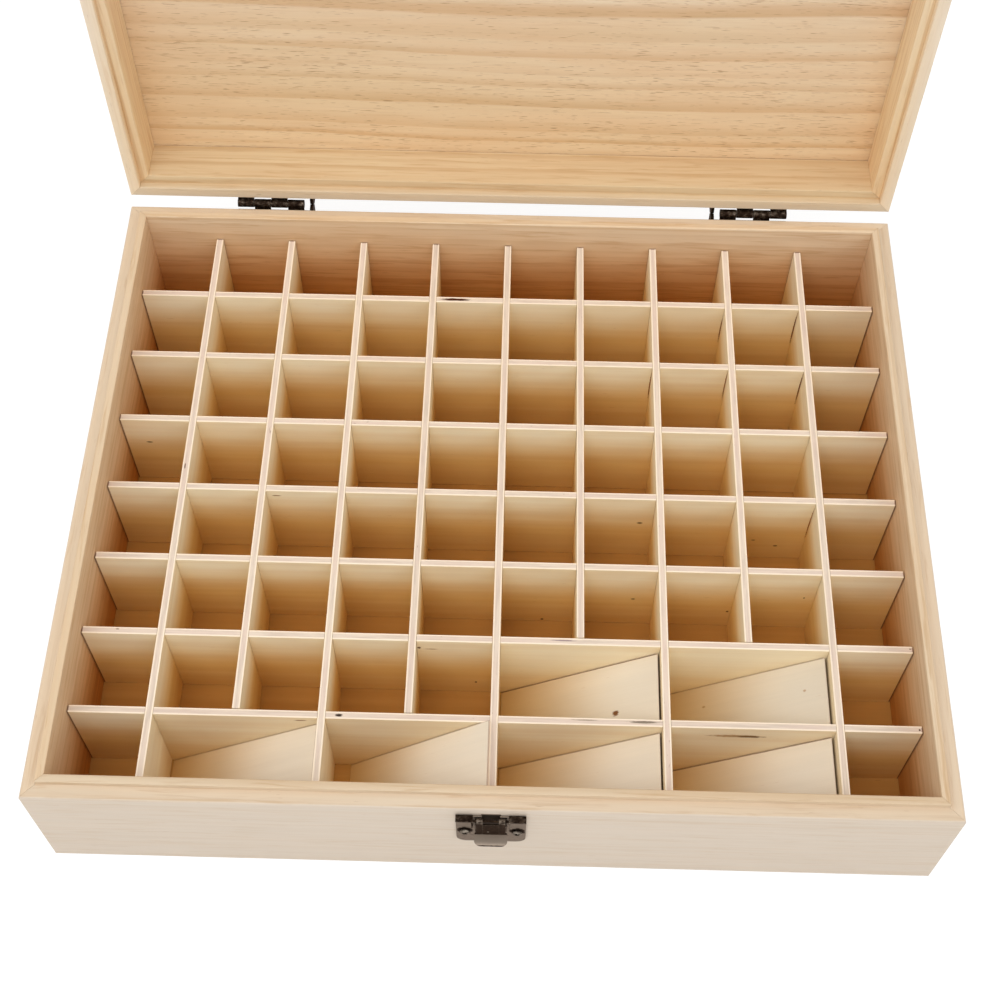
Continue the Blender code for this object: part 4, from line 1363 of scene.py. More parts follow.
@dataclass
class Lid:
    """The lid's four rails and its top panel."""

    sizes: BoxSizes
    wall_thickness: float = 0.009
    inner_depth: float = 0.023
    panel_thickness: float = 0.004
    panel_rebate: float = 0.0045
    rim_width: float = 0.005
    rabbet: float = 0.0036
    outer_arris: float = 0.0009
    small_arris: float = 0.0004

    @property
    def bottom(self) -> float:
        """Return the height of the shut lid's rim."""
        return self.sizes.wall_height + self.sizes.parting_gap

    @property
    def seat(self) -> float:
        """Return the height of the panel's seat with the lid shut."""
        return self.bottom + self.inner_depth

    @property
    def top(self) -> float:
        """Return the height of the shut lid's top."""
        return self.seat + self.sizes.seat_gap + self.panel_thickness

    def profile(self) -> list[tuple[float, float]]:
        """Return the rails' profile as depth from the outer face and height."""
        inner = self.wall_thickness - self.panel_rebate
        shoulder = self.bottom + self.rabbet
        outline = [
            (0.0, self.bottom), (0.0, self.top), (inner, self.top), (inner, self.seat),
            (self.wall_thickness, self.seat), (self.wall_thickness, shoulder),
            (self.rim_width, shoulder), (self.rim_width, self.bottom),
        ]
        small = self.small_arris
        radii = {0: small, 1: self.outer_arris, 2: small / 2, 4: small / 2, 5: small, 7: small}
        return eased(outline, radii)

    def build(self, bench: Bench) -> None:
        """Build the rails and the panel."""
        opened = bench.opened("lid_hinge")
        frame = MitredFrame(self.sizes, self.profile(), self.bottom, 0.6)
        # Whole-rail tones: partly board-to-board difference, partly painted shade by side; the back rail, lowest on the
        # open lid beside the hinges, is darkest.
        for side, tone in {Side.FRONT: 0.0, Side.RIGHT: 0.05, Side.BACK: -0.11, Side.LEFT: 0.04}.items():
            name = side.name.lower()
            draft = frame.draw(side, 9.1 + side.value)
            draft.move(opened)
            node = "lid_" + name + "_rail"
            bench.add(node + "_board", draft, Body.LID, ["lid"], Slot.LID_PINE, [node], tone)
        inset = self.wall_thickness - self.panel_rebate + self.sizes.seat_gap
        half_width = self.sizes.width / 2 - inset
        half_depth = self.sizes.depth / 2 - inset
        draft = Draft()
        low = self.seat + self.sizes.seat_gap

        def place(u: float, v: float, side: int) -> Spot:
            """Place a point of the panel's outer or inner face."""
            height = self.top if side else low
            return Vector((u, v, height)), Vector((u + 2.0, v + 0.34, height)), 0.0

        us = stations(-half_width, half_width, 0.02)
        vs = stations(-half_depth, half_depth, 0.02)
        draft.slab(us, vs, lambda i, j: True, place)
        draft.move(opened)
        bench.add("lid_panel", draft, Body.LID, ["panel"], Slot.PANEL_PINE, ["lid_top_panel"])


# Hardware


class SheetPath:
    """The middle line of a bent sheet seen from the side, as places out from a face and up."""

    def __init__(self, start: tuple[float, float]) -> None:
        """Start the line at a place."""
        self.places = [Vector(start)]

    def line(self, end: tuple[float, float], step: float = 0.0006) -> None:
        """Go straight on to a place."""
        start, goal = self.places[-1], Vector(end)
        count = max(1, math.ceil((goal - start).length / step))
        self.places += [start.lerp(goal, number / count) for number in range(1, count + 1)]

    def ease(self, end: tuple[float, float], steps: int = 6) -> None:
        """Go on upwards to a place that lies further out or in, leaving and arriving upright."""
        start, goal = self.places[-1], Vector(end)
        for number in range(1, steps + 1):
            share = number / steps
            smooth = share * share * (3 - 2 * share)
            self.places.append(Vector((start.x + (goal.x - start.x) * smooth, start.y + (goal.y - start.y) * share)))

    def arc(self, centre: tuple[float, float], radii: tuple[float, float], start: float, end: float, steps: int) -> None:
        """Go round part of an ellipse.

        Args:
            centre: Its centre.
            radii: Its half width out and its half height.
            start: The first angle in degrees from straight out.
            end: The last angle.
            steps: The number of chords.
        """
        for number in range(1, steps + 1):
            angle = math.radians(start + (end - start) * number / steps)
            self.places.append(Vector((
                centre[0] + radii[0] * math.cos(angle), centre[1] + radii[1] * math.sin(angle)
            )))

    def outward(self, row: int) -> Vector:
        """Return the direction square to the line at one of its places."""
        before = self.places[max(row - 1, 0)]
        after = self.places[min(row + 1, len(self.places) - 1)]
        run = (after - before).normalized()
        return Vector((run.y, -run.x))

    def rows_below(self, height: float) -> int:
        """Return how many rows lie below a height before the line first passes it."""
        count = 0
        while count < len(self.places) and self.places[count].y <= height + 1e-7:
            count += 1
        return count


def past_corner(aside: float, ahead: float, radius: float) -> float:
    """Return how far in from an end a row lies beside a rounded corner.

    Args:
        aside: The distance from the side.
        ahead: The row's distance from the end where the end is straight.
        radius: The corner's radius.

    Returns:
        The row's distance from the end at that place.
    """
    if aside >= radius or ahead >= radius:
        return ahead
    cut = radius - math.sqrt(radius ** 2 - (radius - max(aside, 0.0)) ** 2)
    return cut + ahead * (radius - cut) / radius


def corner_marks(low: float, high: float, radius: float) -> list[float]:
    """Return stations that draw the rounded corners at both ends of a side."""
    shares = (0.05, 0.18, 0.38, 0.66, 1.0)
    return [low + radius * s for s in shares] + [high - radius * s for s in shares]


def prism(
    draft: Draft, outline: Sequence[tuple[float, float]], place: Callable[[float, float, float], Vector],
    low: float, high: float, rub: float = 0.0,
) -> None:
    """Add a closed prism.

    Args:
        draft: The mesh to add it to.
        outline: Its outline.
        place: Carries an outline point and a station into the frame.
        low: The first station.
        high: The last station.
        rub: How far its patina has rubbed off, also carrying painted shade and highlight.
    """
    rings = [[draft.point(place(u, v, station), rub=rub) for u, v in outline] for station in (low, high)]
    draft.sweep(rings)


def turned(
    draft: Draft, profile: Sequence[tuple[float, float]], place: Callable[[float, float, float], Vector],
    segments: int = 24, rub: float = 0.0,
) -> None:
    """Add a turned body whose profile gives radius and station from one end to the other."""
    rings = []
    for radius, station in profile:
        ring = []
        for number in range(segments):
            angle = 2 * math.pi * number / segments
            spot = place(radius * math.cos(angle), radius * math.sin(angle), station)
            ring.append(draft.point(spot, rub=rub))
        rings.append(ring)
    draft.sweep(rings)


def domed_rod(half: float, radius: float, dome: float, steps: int = 4) -> list[tuple[float, float]]:
    """Return the profile of a rod with domed ends."""
    end = []
    for number in range(steps + 1):
        angle = math.pi / 2 * number / steps
        end.append((max(radius * math.sin(angle), radius * 0.06), half - dome * (1 - math.cos(angle))))
    middle = [(radius, station) for station in stations(-half + dome, half - dome, 0.004)][1:-1]
    return [(r, -s) for r, s in end] + middle + [(r, s) for r, s in reversed(end)]


@dataclass
class RoundHeadScrew:
    """A round-headed screw with a cross recess."""

    head_radius: float = 0.0021
    head_height: float = 0.0011
    rim_height: float = 0.0003
    shank_radius: float = 0.0009
    length: float = 0.007
    point: float = 0.0018
    recess_depth: float = 0.00105
    arm_half_width: float = 0.24
    arm_length: float = 0.6
    lift: float = 0.0003

    def grid(self) -> list[float]:
        """Return the head's grid lines, close together at the walls of the recess."""
        half = [0.0, 0.12, self.arm_half_width, self.arm_half_width + 0.035, 0.37, 0.49, self.arm_length]
        half += [self.arm_length + 0.04, 0.72, 0.82, 0.9, 0.96, 1.0]
        return [-value for value in reversed(half[1:])] + half

    def height(self, a: float, b: float, radius: float) -> float:
        """Return the height of the head's top at a grid place with a radius of 0 to 1."""
        dome = self.rim_height + (self.head_height - self.rim_height) * (1 - radius ** 2.4)
        near, far = sorted((abs(a), abs(b)))
        if near <= self.arm_half_width and far <= self.arm_length:
            return dome - self.recess_depth * (1 - 0.35 * far / self.arm_length)
        return dome

    def draw(self, draft: Draft, place: Callable[[float, float, float], Vector], turn: float) -> None:
        """Add the screw.

        Args:
            draft: The mesh to add it to.
            place: Carries a place across, up and out from the seat into the frame.
            turn: The angle of its recess.
        """
        grid = self.grid()
        twist = Matrix.Rotation(turn, 2)
        numbers = {}
        for i, a in enumerate(grid):
            for j, b in enumerate(grid):
                reach = max(abs(a), abs(b))
                blend = reach ** 3
                length = math.hypot(a, b) or 1.0
                spot = Vector((a, b)) * (0.78 * (1 - blend) + blend * reach / length)
                height = self.lift + self.height(a, b, min(1.0, spot.length))
                spot = twist @ spot * self.head_radius
                sunk = height < self.lift + self.rim_height + 0.0001
                numbers[i, j] = draft.point(place(spot.x, spot.y, height), rub=0.0 if sunk else 0.62)
        last = len(grid) - 1
        for i in range(last):
            for j in range(last):
                draft.face((numbers[i, j], numbers[i + 1, j], numbers[i + 1, j + 1], numbers[i, j + 1]))
        edge = [(i, 0) for i in range(last)] + [(last, j) for j in range(last)]
        edge += [(i, last) for i in range(last, 0, -1)] + [(0, j) for j in range(last, 0, -1)]
        spokes = []
        for i, j in edge:
            spoke = twist @ Vector((grid[i], grid[j])).normalized()
            spokes.append(spoke)
        rings = [[numbers[key] for key in edge]]
        low = self.lift - self.length
        for radius, height in (
            (self.head_radius, self.lift), (self.shank_radius, self.lift),
            (self.shank_radius, low + self.point), (0.00005, low),
        ):
            rings.append([draft.point(place(s.x * radius, s.y * radius, height)) for s in spokes])
        draft.sweep(rings, caps=False)
        draft.face(rings[-1])


@dataclass
class StopHinges:
    """Two butt hinges whose ears stop the lid just past upright."""

    sizes: BoxSizes
    inset: float = 0.0625
    shift: float = 0.0013
    offset: float = 0.0031
    sheet: float = 0.001
    reach: float = 0.016
    corner: float = 0.0018
    joggle: float = 0.0044
    barrel_length: float = 0.0305
    barrel_radius: float = 0.0019
    knuckles: int = 4
    knuckle_gap: float = 0.0003
    pin_radius: float = 0.0008
    pin_dome: float = 0.0003
    ear_distance: float = 0.0026
    ear_thickness: float = 0.0014
    ear_reach: float = 0.0045
    ear_gap: float = 0.00008
    screw_inset: float = 0.007
    screw_drop: float = 0.0095
    open_angle: float = math.radians(91.5)

    @property
    def axis(self) -> Vector:
        """Return a place on the pin's axis."""
        return Vector((0.0, self.sizes.back + self.offset, self.sizes.wall_height + self.sizes.parting_gap / 2))

    def build(self, bench: Bench) -> None:
        """Build the leaves, the pins and the screws."""
        opened = bench.opened("lid_hinge")
        owners = ((Body.TRAY, "base", 1, 1, unmoved), (Body.LID, "lid", -1, 0, opened))
        for body, owner, flip, first, turn in owners:
            count = 0
            for side, centre in self.centres():
                draft = self.leaf(centre, flip, first)
                draft.move(turn)
                node = side + "_hinge_" + owner + "_leaf"
                leaf = bench.add(node + "_sheet", draft, body, ["bronze"], Slot.BRONZE, [node])
                round_edges(leaf, 0.00012)
                for aside in (-1, 1):
                    count += 1
                    self.screw(bench, centre + aside * (self.barrel_length / 2 - self.screw_inset), flip, count, turn)
        for side, centre in self.centres():
            self.pin(bench, side, centre)

    def centres(self) -> list[tuple[str, float]]:
        """Return the hinges' names and the X of their barrels' middles."""
        half = self.sizes.width / 2 - self.inset
        return [("left", self.shift - half), ("right", self.shift + half)]

    def pin(self, bench: Bench, side: str, centre: float) -> None:
        """Build one hinge's pin."""
        draft = Draft()
        profile = domed_rod(self.barrel_length / 2, self.pin_radius, self.pin_dome)
        turned(draft, profile, lambda u, v, s: self.axis + Vector((centre + s, u, v)), rub=0.7)
        node = side + "_hinge_pin"
        bench.add(node + "_rod", draft, Body.TRAY, ["bronze"], Slot.BRONZE, [node])

    def screw(self, bench: Bench, across: float, flip: int, number: int, turn: Turn) -> None:
        """Build one leaf screw."""
        draft = Draft()
        seat = self.sizes.back + self.sizes.seat_gap + self.sheet
        height = self.axis.z - flip * self.screw_drop
        RoundHeadScrew().draw(draft, lambda u, v, s: Vector((across - u, seat + s, height + v)), number * 0.7)
        draft.move(turn)
        node = ("hinge_base_screw_" if flip > 0 else "hinge_lid_screw_") + str(number)
        body = Body.TRAY if flip > 0 else Body.LID
        bench.add(node + "_body", draft, body, ["screw"], Slot.SCREW, [node])

    def knuckle_ends(self, outer_end: float, inward: float, first: int) -> list[tuple[float, float]]:
        """Return the ends of a leaf's knuckles, low and high."""
        length = self.barrel_length / self.knuckles
        ends = []
        for number in range(first, self.knuckles, 2):
            start = outer_end + inward * (number * length + self.knuckle_gap / 2)
            ends.append(tuple(sorted((start, start + inward * (length - self.knuckle_gap)))))
        return ends

    def leaf(self, centre: float, flip: int, first: int) -> Draft:
        """Draw a leaf.

        Args:
            centre: The X of the barrel's middle.
            flip: 1 for the leaf under the axis, -1 for the one over it.
            first: The number of its first knuckle.

        Returns:
            The leaf's plate with its rolled knuckles and its ear.
        """
        inward = -1.0 if centre > 0.0 else 1.0
        outer_end = centre - inward * self.barrel_length / 2
        ear_near = centre + inward * (self.barrel_length / 2 + self.ear_distance)
        low, high = sorted((outer_end, ear_near + inward * self.ear_thickness))
        ends = self.knuckle_ends(outer_end, inward, first)
        plate = -self.offset + self.sizes.seat_gap + self.sheet / 2
        roll = self.barrel_radius - self.sheet / 2
        path = SheetPath((plate, -self.reach))
        path.line((plate, -self.joggle), 0.0008)
        path.ease((-roll, -0.0004))
        path.arc((0.0, 0.0), (roll, roll), 180.0, -146.0, 26)
        plate_rows = path.rows_below(-self.barrel_radius - self.sizes.seat_gap)
        us = stations(low, high, 0.001, [end for pair in ends for end in pair] + corner_marks(low, high, self.corner))
        axis = self.axis

        def present(i: int, j: int) -> bool:
            """Keep the plate everywhere and the rolled part at the knuckles."""
            middle = (us[i] + us[i + 1]) / 2
            return j + 1 < plate_rows or any(start < middle < end for start, end in ends)

        def place(u: float, v: float, side: int) -> Spot:
            """Place a point of the leaf's inner or outer face."""
            row = int(v)
            spot = path.places[row].copy()
            ahead = past_corner(min(u - low, high - u), spot.y + self.reach, self.corner)
            spot.y = ahead - self.reach
            spot += path.outward(row) * (self.sheet / 2 * (1 if side else -1))
            rough = 0.00006 * wobble(u * 700.0, spot.x * 700.0, spot.y * 700.0 + flip * 9.0)
            spot += path.outward(row) * (rough if side == 0 and row >= plate_rows else 0.0)
            return axis + Vector((u, spot.x, flip * spot.y)), Vector(), 0.32 if row >= plate_rows else 0.4

        draft = Draft()
        draft.slab(us, [float(row) for row in range(len(path.places))], present, place)
        stop = Vector((math.cos(self.open_angle / 2), -math.sin(self.open_angle / 2)))
        aside = Vector((stop.y, -stop.x)) * self.ear_gap
        tip = stop * self.ear_reach + aside
        wall = -self.offset + self.sizes.seat_gap
        foot = -2 * self.ear_reach
        outline = eased(
            [(wall, -self.ear_gap), (aside.x, -self.ear_gap), tuple(tip), (tip.x, foot), (wall, foot)],
            {3: 0.0016},
        )
        ear = sorted((ear_near, ear_near + inward * self.ear_thickness))
        prism(draft, outline, lambda u, v, s: axis + Vector((s, u, flip * v)), *ear, rub=-1.0)
        return draft


@dataclass
class LatchSizes:
    """Sizes that the latch and its keeper share."""

    sizes: BoxSizes
    width: float = 0.026
    height: float = 0.0262
    drop: float = 0.0042
    sheet: float = 0.0006
    pin_drop: float = 0.0014
    pin_radius: float = 0.0005
    ring_radius: float = 0.0011

    @property
    def top(self) -> float:
        """Return the height of the plate's top."""
        return self.sizes.wall_height - self.drop

    @property
    def face(self) -> float:
        """Return how far the plate's front stands out from the wall."""
        return self.sizes.seat_gap + self.sheet

    @property
    def pin_out(self) -> float:
        """Return how far the pin's axis stands out from the wall."""
        return self.face + self.sizes.seat_gap + self.ring_radius

    @property
    def pin_height(self) -> float:
        """Return the height of the pin's axis."""
        return self.top - self.pin_drop

    def spot(self, across: float, out: float, height: float) -> Vector:
        """Return the place that lies across, out from the wall and at a height."""
        return Vector((across, self.sizes.front - out, height))


@dataclass
class Latch:
    """The latch on the tray: plate, lever, pin and two screws."""

    shared: LatchSizes
    corner: float = 0.004
    flange: float = 0.0024
    fold_radius: float = 0.0005
    wing_inner: float = 0.0066
    notch_half: float = 0.0033
    notch_depth: float = 0.005
    cheek_height: float = 0.0105
    cheek_reach: float = 0.0028
    screw_spacing: float = 0.0196
    screw_drop: float = 0.0155
    ring_rise: float = 0.0006
    ring_reach: float = 0.0029
    lever_half: float = 0.0062
    body_half: float = 0.0059
    window_half: float = 0.003
    window_drop: float = 0.0012
    body_drop: float = 0.0106
    side_height: float = 0.0085
    lip_drop: float = 0.0062
    lip_flare: float = 0.0028
    lip_corner: float = 0.0022
    lip_shade: float = 0.0004
    backing_sheet: float = 0.00018
    dimple: tuple[float, float] = (-0.001, -0.0078)
    dimple_radius: float = 0.0005
    dimple_height: float = 0.00028

    def build(self, bench: Bench) -> None:
        """Build the latch's pieces."""
        plate = bench.add("latch_plate_sheet", self.plate(), Body.TRAY, ["bronze"], Slot.BRONZE, ["latch_plate"])
        round_edges(plate, 0.00012)
        lever = bench.add("latch_lever_sheet", self.lever(), Body.LEVER, ["bronze"], Slot.BRONZE, ["latch_lever"])
        round_edges(lever, 0.00012)
        shared = self.shared
        half = self.wing_inner + shared.sheet + shared.sizes.seat_gap
        draft = Draft()

        def along(u: float, v: float, station: float) -> Vector:
            """Place a point of the pin."""
            return shared.spot(station, shared.pin_out + u, shared.pin_height + v)

        turned(draft, domed_rod(half, shared.pin_radius, 0.0002), along, rub=0.1)
        bench.add("latch_pin_rod", draft, Body.TRAY, ["bronze"], Slot.BRONZE, ["latch_pin"])
        height = shared.top - self.screw_drop
        for number, aside in ((1, -1), (2, 1)):
            across = aside * self.screw_spacing / 2
            draft = Draft()
            RoundHeadScrew().draw(draft, lambda u, v, s: shared.spot(across + u, shared.face + s, height + v), 0.5 * aside)
            node = "latch_screw_" + str(number)
            bench.add(node + "_body", draft, Body.TRAY, ["screw"], Slot.SCREW, [node])

    def plate(self) -> Draft:
        """Draw the plate with its top fold and the two cheeks that hold the pin."""
        shared = self.shared
        half = shared.width / 2
        middle = shared.sizes.seat_gap + shared.sheet / 2
        path = SheetPath((middle, -shared.height))
        bend_low = -shared.sheet / 2 - self.fold_radius
        path.line((middle, -self.notch_depth), 0.0008)
        path.line((middle, bend_low), 0.0008)
        plate_rows = len(path.places)
        radii = (self.fold_radius, self.fold_radius)
        path.arc((middle + self.fold_radius, bend_low), radii, 180.0, 90.0, 5)
        path.line((shared.face + self.flange, -shared.sheet / 2), 0.0006)
        notch_rows = path.rows_below(-self.notch_depth)
        marks = [sign * mark for sign in (-1, 1) for mark in (self.notch_half, self.wing_inner)]
        us = stations(-half, half, 0.0008, marks + corner_marks(-half, half, self.corner))

        def present(i: int, j: int) -> bool:
            """Leave out the notch, and keep the fold over the wings only."""
            across = abs(us[i] + us[i + 1]) / 2
            if across > self.wing_inner:
                return True
            return j + 1 < (plate_rows if across > self.notch_half else notch_rows)

        def place(u: float, v: float, side: int) -> Spot:
            """Place a point of the plate's inner or outer face."""
            row = int(v)
            spot = path.places[row].copy()
            ahead = past_corner(half - abs(u), spot.y + shared.height, self.corner)
            spot.y = ahead - shared.height
            spot += path.outward(row) * (shared.sheet / 2 * (1 if side else -1))
            dent = 0.00005 * wobble(u * 500.0, spot.y * 500.0, 3.0)
            # A dark patina ring round each screw, set higher than the screw: partly patina round the head, partly a
            # painted shadow above it.
            from_screw = math.hypot(abs(u) - self.screw_spacing / 2, spot.y + self.screw_drop - self.ring_rise)
            rub = 0.3 if row >= plate_rows else 0.1 if from_screw < self.ring_reach else 0.9
            return shared.spot(u, spot.x + dent, shared.top + spot.y), Vector(), rub

        draft = Draft()
        draft.slab(us, [float(row) for row in range(len(path.places))], present, place)
        face = shared.face
        cheek = eased(
            [
                (middle, -0.0001), (face + self.cheek_reach, -0.0003),
                (face + self.cheek_reach, -self.cheek_height / 2), (face - shared.sheet, -self.cheek_height),
                (middle, -self.cheek_height),
            ],
            {1: 0.0006, 2: 0.0016},
        )
        for sign in (-1, 1):
            ends = sorted((sign * self.wing_inner, sign * (self.wing_inner + shared.sheet)))
            # The right cheek is lighter than the left: painted highlight on the right, painted shade on the left.
            prism(draft, cheek, lambda u, v, s: shared.spot(s, u, shared.top + v), *ends, rub=0.35 + 0.3 * sign)
        self.backing(draft)
        return draft

    def backing(self, draft: Draft) -> None:
        """Add the thin tongue of the plate that is pressed back against the wood behind the window, a dark sheet that
        partly stands in for the shade seen through the window.
        """
        shared = self.shared
        us = stations(-self.notch_half - 0.0003, self.notch_half + 0.0003, 0.0006)
        vs = stations(-self.notch_depth - 0.0004, -0.0001, 0.0005)

        def place(u: float, v: float, side: int) -> Spot:
            """Place a point of the tongue, pressed flat to leave room for the keeper's tongue."""
            dent = 0.00002 * wobble(u * 900.0, v * 900.0, 5.0)
            out = 0.00003 + (self.backing_sheet if side else 0.0) + dent
            # Its high wear value lightens it: painted light on a sheet that lies in shade.
            return shared.spot(u, out, shared.top + v), Vector(), 1.2

        draft.slab(us, vs, lambda i, j: True, place)

    def lever(self) -> Draft:
        """Draw the lever: rolled knuckles, window, folded sides, dimple and flared thumb lip."""
        shared = self.shared
        roll = shared.ring_radius - shared.sheet / 2
        bend = 0.0004
        flat = self.body_half - bend - shared.sheet / 2
        side_top = -self.window_drop / 2
        side_foot = side_top - self.side_height
        behind = math.radians(230.0)
        path = SheetPath((roll * math.cos(behind), roll * math.sin(behind)))
        path.arc((0.0, 0.0), (roll, roll), 230.0, 0.0, 18)
        path.line((roll, side_top), 0.0003)
        side_first = len(path.places) - 1
        path.line((roll, -self.window_drop), 0.0003)
        window_rows = len(path.places) - 1
        path.line((roll, side_foot), 0.00028)
        side_last = len(path.places) - 1
        path.line((roll, -self.body_drop), 0.0003)
        lip_first = len(path.places) - 1
        path.arc((roll + self.lip_flare, -self.body_drop), (self.lip_flare, self.lip_drop), 180.0, 270.0, 16)
        last = len(path.places) - 1
        fold = shared.ring_radius + roll - bend
        arc = bend * math.pi / 2
        marks = [sign * mark for sign in (-1, 1) for mark in (self.window_half, flat, flat + arc / 2, flat + arc)]
        marks += corner_marks(-flat, flat, self.lip_corner)
        us = stations(-flat - arc - fold, flat + arc + fold, 0.0003, marks)

        def present(i: int, j: int) -> bool:
            """Leave out the window and keep the folded sides beside the body only."""
            across = abs(us[i] + us[i + 1]) / 2
            if across > flat:
                return side_first <= j < side_last
            return across > self.window_half or j >= window_rows

        def place(u: float, v: float, side: int) -> Spot:
            """Place a point of the lever's inner or outer face."""
            row = int(v)
            spot = path.places[row]
            half_sheet = shared.sheet / 2 * (1 if side else -1)
            sign = -1.0 if u < 0 else 1.0
            beyond = abs(u) - flat
            if beyond > 1e-7:
                turn = min(1.0, beyond / arc) * math.pi / 2
                back = max(0.0, beyond - arc)
                across = flat + bend * math.sin(turn) + half_sheet * math.sin(turn)
                out = spot.x - bend * (1 - math.cos(turn)) - back + half_sheet * math.cos(turn)
                height = side_top + (spot.y - side_top) * (1 - 0.5 * back / fold)
                return self.lever_spot(sign * across, out, height), Vector(), 0.45
            width = flat
            if row > side_last:
                share = min(1.0, (row - side_last) / (lip_first - side_last + 3))
                width += (self.lever_half - flat) * share * share * (3 - 2 * share)
            from_end = sum((path.places[n + 1] - path.places[n]).length for n in range(row, last))
            if from_end < self.lip_corner:
                width -= self.lip_corner - math.sqrt(self.lip_corner ** 2 - (self.lip_corner - from_end) ** 2)
            near = Vector((u, spot.y)) - Vector(self.dimple)
            bulge = self.dimple_height * math.exp(-(near.length / self.dimple_radius) ** 2 * 1.4)
            moved = spot - path.outward(row) * (half_sheet + (bulge if row > window_rows else 0.0))
            rub = -0.3 + 1.2 * min(1.0, bulge / self.dimple_height * 1.5)
            if row > lip_first:
                rub = 0.35 if from_end < self.lip_shade else 1.15
            elif row < side_first:
                rub = 0.5
            return self.lever_spot(u / flat * width, moved.x, moved.y), Vector(), rub

        draft = Draft()
        draft.slab(us, [float(row) for row in range(len(path.places))], present, place)
        return draft

    def lever_spot(self, across: float, out: float, up: float) -> Vector:
        """Return the place that lies across, out from the pin's axis and up from it."""
        return self.shared.spot(across, self.shared.pin_out + out, self.shared.pin_height + up)


@dataclass
class Keeper:
    """The keeper on the lid: plate, hooked tongue and two screws."""

    shared: LatchSizes
    width: float = 0.022
    height: float = 0.012
    rise: float = 0.0022
    corner: float = 0.003
    tongue_half: float = 0.0024
    below_pin: float = 0.0018
    hook_out: float = 0.0004
    screw_spacing: float = 0.0145

    def build(self, bench: Bench) -> None:
        """Build the keeper's pieces."""
        opened = bench.opened("lid_hinge")
        shared = self.shared
        bottom = shared.sizes.wall_height + shared.sizes.parting_gap + self.rise
        draft = self.plate(bottom)
        draft.move(opened)
        plate = bench.add("keeper_plate_sheet", draft, Body.LID, ["bronze"], Slot.BRONZE, ["keeper_plate"])
        round_edges(plate, 0.00012)
        height = bottom + self.height / 2
        for number, aside in ((1, -1), (2, 1)):
            across = aside * self.screw_spacing / 2
            draft = Draft()
            RoundHeadScrew().draw(draft, lambda u, v, s: shared.spot(across + u, shared.face + s, height + v), 0.9 * aside)
            draft.move(opened)
            node = "keeper_screw_" + str(number)
            bench.add(node + "_body", draft, Body.LID, ["screw"], Slot.SCREW, [node])

    def plate(self, bottom: float) -> Draft:
        """Draw the plate and its tongue."""
        shared = self.shared
        half = self.width / 2
        middle = shared.sizes.seat_gap + shared.sheet / 2
        tip = shared.pin_height - self.below_pin - bottom
        path = SheetPath((middle + self.hook_out, tip + 0.0001))
        path.ease((middle, tip + 0.0012), 5)
        path.line((middle, 0.0), 0.0006)
        tongue_rows = len(path.places) - 1
        path.line((middle, self.height), 0.0006)
        us = stations(-half, half, 0.0007, [-self.tongue_half, self.tongue_half, *corner_marks(-half, half, self.corner)])

        def present(i: int, j: int) -> bool:
            """Keep the tongue only below the plate."""
            return j >= tongue_rows or abs(us[i] + us[i + 1]) / 2 < self.tongue_half

        def place(u: float, v: float, side: int) -> Spot:
            """Place a point of the keeper's inner or outer face."""
            row = int(v)
            spot = path.places[row].copy()
            aside = half - abs(u)
            if row >= tongue_rows:
                if spot.y < self.height / 2:
                    spot.y = past_corner(aside, spot.y, self.corner)
                else:
                    spot.y = self.height - past_corner(aside, self.height - spot.y, self.corner)
            spot.x += shared.sheet / 2 * (1 if side else -1)
            dent = 0.00005 * wobble(u * 500.0, spot.y * 500.0, 8.0)
            return shared.spot(u, spot.x + dent, bottom + spot.y), Vector(), 0.45

        draft = Draft()
        draft.slab(us, [float(row) for row in range(len(path.places))], present, place)
        return draft


# Studio


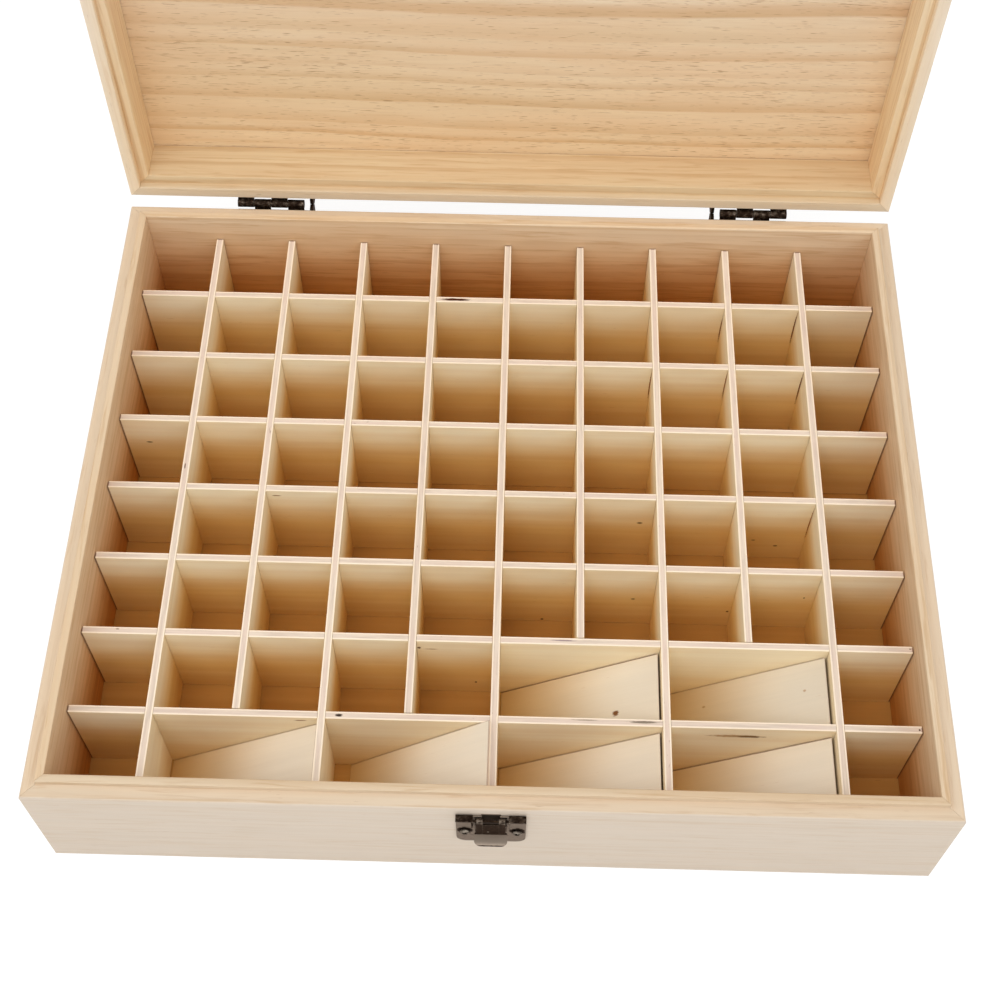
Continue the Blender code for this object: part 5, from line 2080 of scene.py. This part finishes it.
@dataclass
class Studio:
    """The camera, the lamps, the world and the floor."""

    camera_place: Place = (0.00607, -0.35275, 0.61924)
    camera_aim: Place = (-0.00011, -0.01035, 0.0604)
    camera_roll: float = 0.50684
    lens_mm: float = 58.083
    floor_half: float = 4.0
    floor_drop: float = 0.0002

    def build(self) -> None:
        """Set up everything that isn't part of the box."""
        self.camera()
        self.world()
        self.lamps()
        self.floor()
        bpy.context.scene.view_settings.view_transform = "Standard"

    def camera(self) -> None:
        """Place the camera at the photograph's viewpoint."""
        data = bpy.data.cameras.new("view")
        data.lens = self.lens_mm
        data.clip_start = 0.01
        camera = bpy.data.objects.new("view", data)
        forward = (Vector(self.camera_aim) - Vector(self.camera_place)).normalized()
        level = forward.cross(Vector((0.0, 0.0, 1.0))).normalized()
        roll = Matrix.Rotation(-math.radians(self.camera_roll), 3, forward)
        right = roll @ level
        up = right.cross(forward)
        pose = Matrix((right, up, -forward)).transposed().to_4x4()
        pose.translation = Vector(self.camera_place)
        camera.matrix_world = pose
        bpy.context.scene.collection.objects.link(camera)
        bpy.context.scene.camera = camera

    def seen_directly(self, sheet: NodeSheet) -> bpy.types.NodeSocket:
        """Return 1 where a camera, glossy or transmission ray looks, and else 0."""
        path = sheet.add("ShaderNodeLightPath").outputs
        seen = sheet.math("MAXIMUM", path["Is Camera Ray"], path["Is Glossy Ray"])
        return sheet.math("MAXIMUM", seen, path["Is Transmission Ray"])

    def world(self) -> None:
        """Make the world white to look at and a soft plain light on the object."""
        world = bpy.data.worlds.new("studio_world")
        world.use_nodes = True
        sheet = NodeSheet(world.node_tree)
        background = world.node_tree.nodes["Background"]
        background.inputs["Color"].default_value = (1.0, 1.0, 1.0, 1.0)
        strength = sheet.span(self.seen_directly(sheet), 0.0, 1.0, 0.50, 1.0)
        sheet.feed(background.inputs["Strength"], strength)
        bpy.context.scene.world = world

    def lamps(self) -> None:
        """Hang five broad soft lamps."""
        lamps = (
            ("overhead", (-0.3, -0.75, 1.5), (0.0, 0.0, 0.0), 1.3, 9.2),
            ("front_fill", (0.5, -1.8, 1.0), (0.0, 0.0, 0.05), 1.2, 5.3),
            ("left_fill", (-1.5, -0.3, 1.25), (0.0, 0.0, 0.05), 1.2, 7.2),
            ("back_fill", (0.0, 1.9, 0.9), (0.0, 0.0, 0.05), 1.2, 5.0),
            ("right_fill", (1.5, -0.3, 1.25), (0.0, 0.0, 0.05), 1.2, 7.2),
        )
        for name, place, aim, size, power in lamps:
            data = bpy.data.lights.new(name, "AREA")
            data.shape = "DISK"
            data.size = size
            data.energy = power
            lamp = bpy.data.objects.new(name, data)
            direction = Vector(aim) - Vector(place)
            lamp.rotation_euler = direction.to_track_quat("-Z", "Y").to_euler()
            lamp.location = place
            bpy.context.scene.collection.objects.link(lamp)

    def floor(self) -> None:
        """Lay a pale floor that looks white and keeps the box's shadow."""
        half = self.floor_half
        mesh = bpy.data.meshes.new("floor")
        corners = [(-half, -half, 0.0), (half, -half, 0.0), (half, half, 0.0), (-half, half, 0.0)]
        mesh.from_pydata(corners, [], [(0, 1, 2, 3)])
        material, sheet, shader = start_material("studio_floor", 1.0, 0.0)
        seen = self.seen_directly(sheet)
        shade = sheet.mix(seen, (0.82, 0.82, 0.82, 1.0), (0.30, 0.30, 0.30, 1.0))
        sheet.feed(shader.inputs["Base Color"], shade)
        glow = sheet.mix(seen, (0.0, 0.0, 0.0, 1.0), (0.79, 0.79, 0.79, 1.0))
        sheet.feed(shader.inputs["Emission Color"], glow)
        shader.inputs["Emission Strength"].default_value = 1.0
        mesh.materials.append(material)
        floor = bpy.data.objects.new("floor", mesh)
        floor.location.z = -self.floor_drop
        bpy.context.scene.collection.objects.link(floor)


def main() -> None:
    """Build the box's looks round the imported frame."""
    logging.basicConfig(level=logging.INFO, format="%(name)s: %(message)s")
    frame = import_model()
    sizes = BoxSizes()
    bench = Bench(frame, Palette())
    Studio().build()
    Tray(sizes).build(bench)
    DividerGrid(sizes).build(bench)
    SlopingBoards(sizes).build(bench)
    Lid(sizes).build(bench)
    StopHinges(sizes).build(bench)
    latch_sizes = LatchSizes(sizes)
    Latch(latch_sizes).build(bench)
    Keeper(latch_sizes).build(bench)
    LOG.info("%d pieces built", bench.count)


if __name__ == "__main__":
    main()
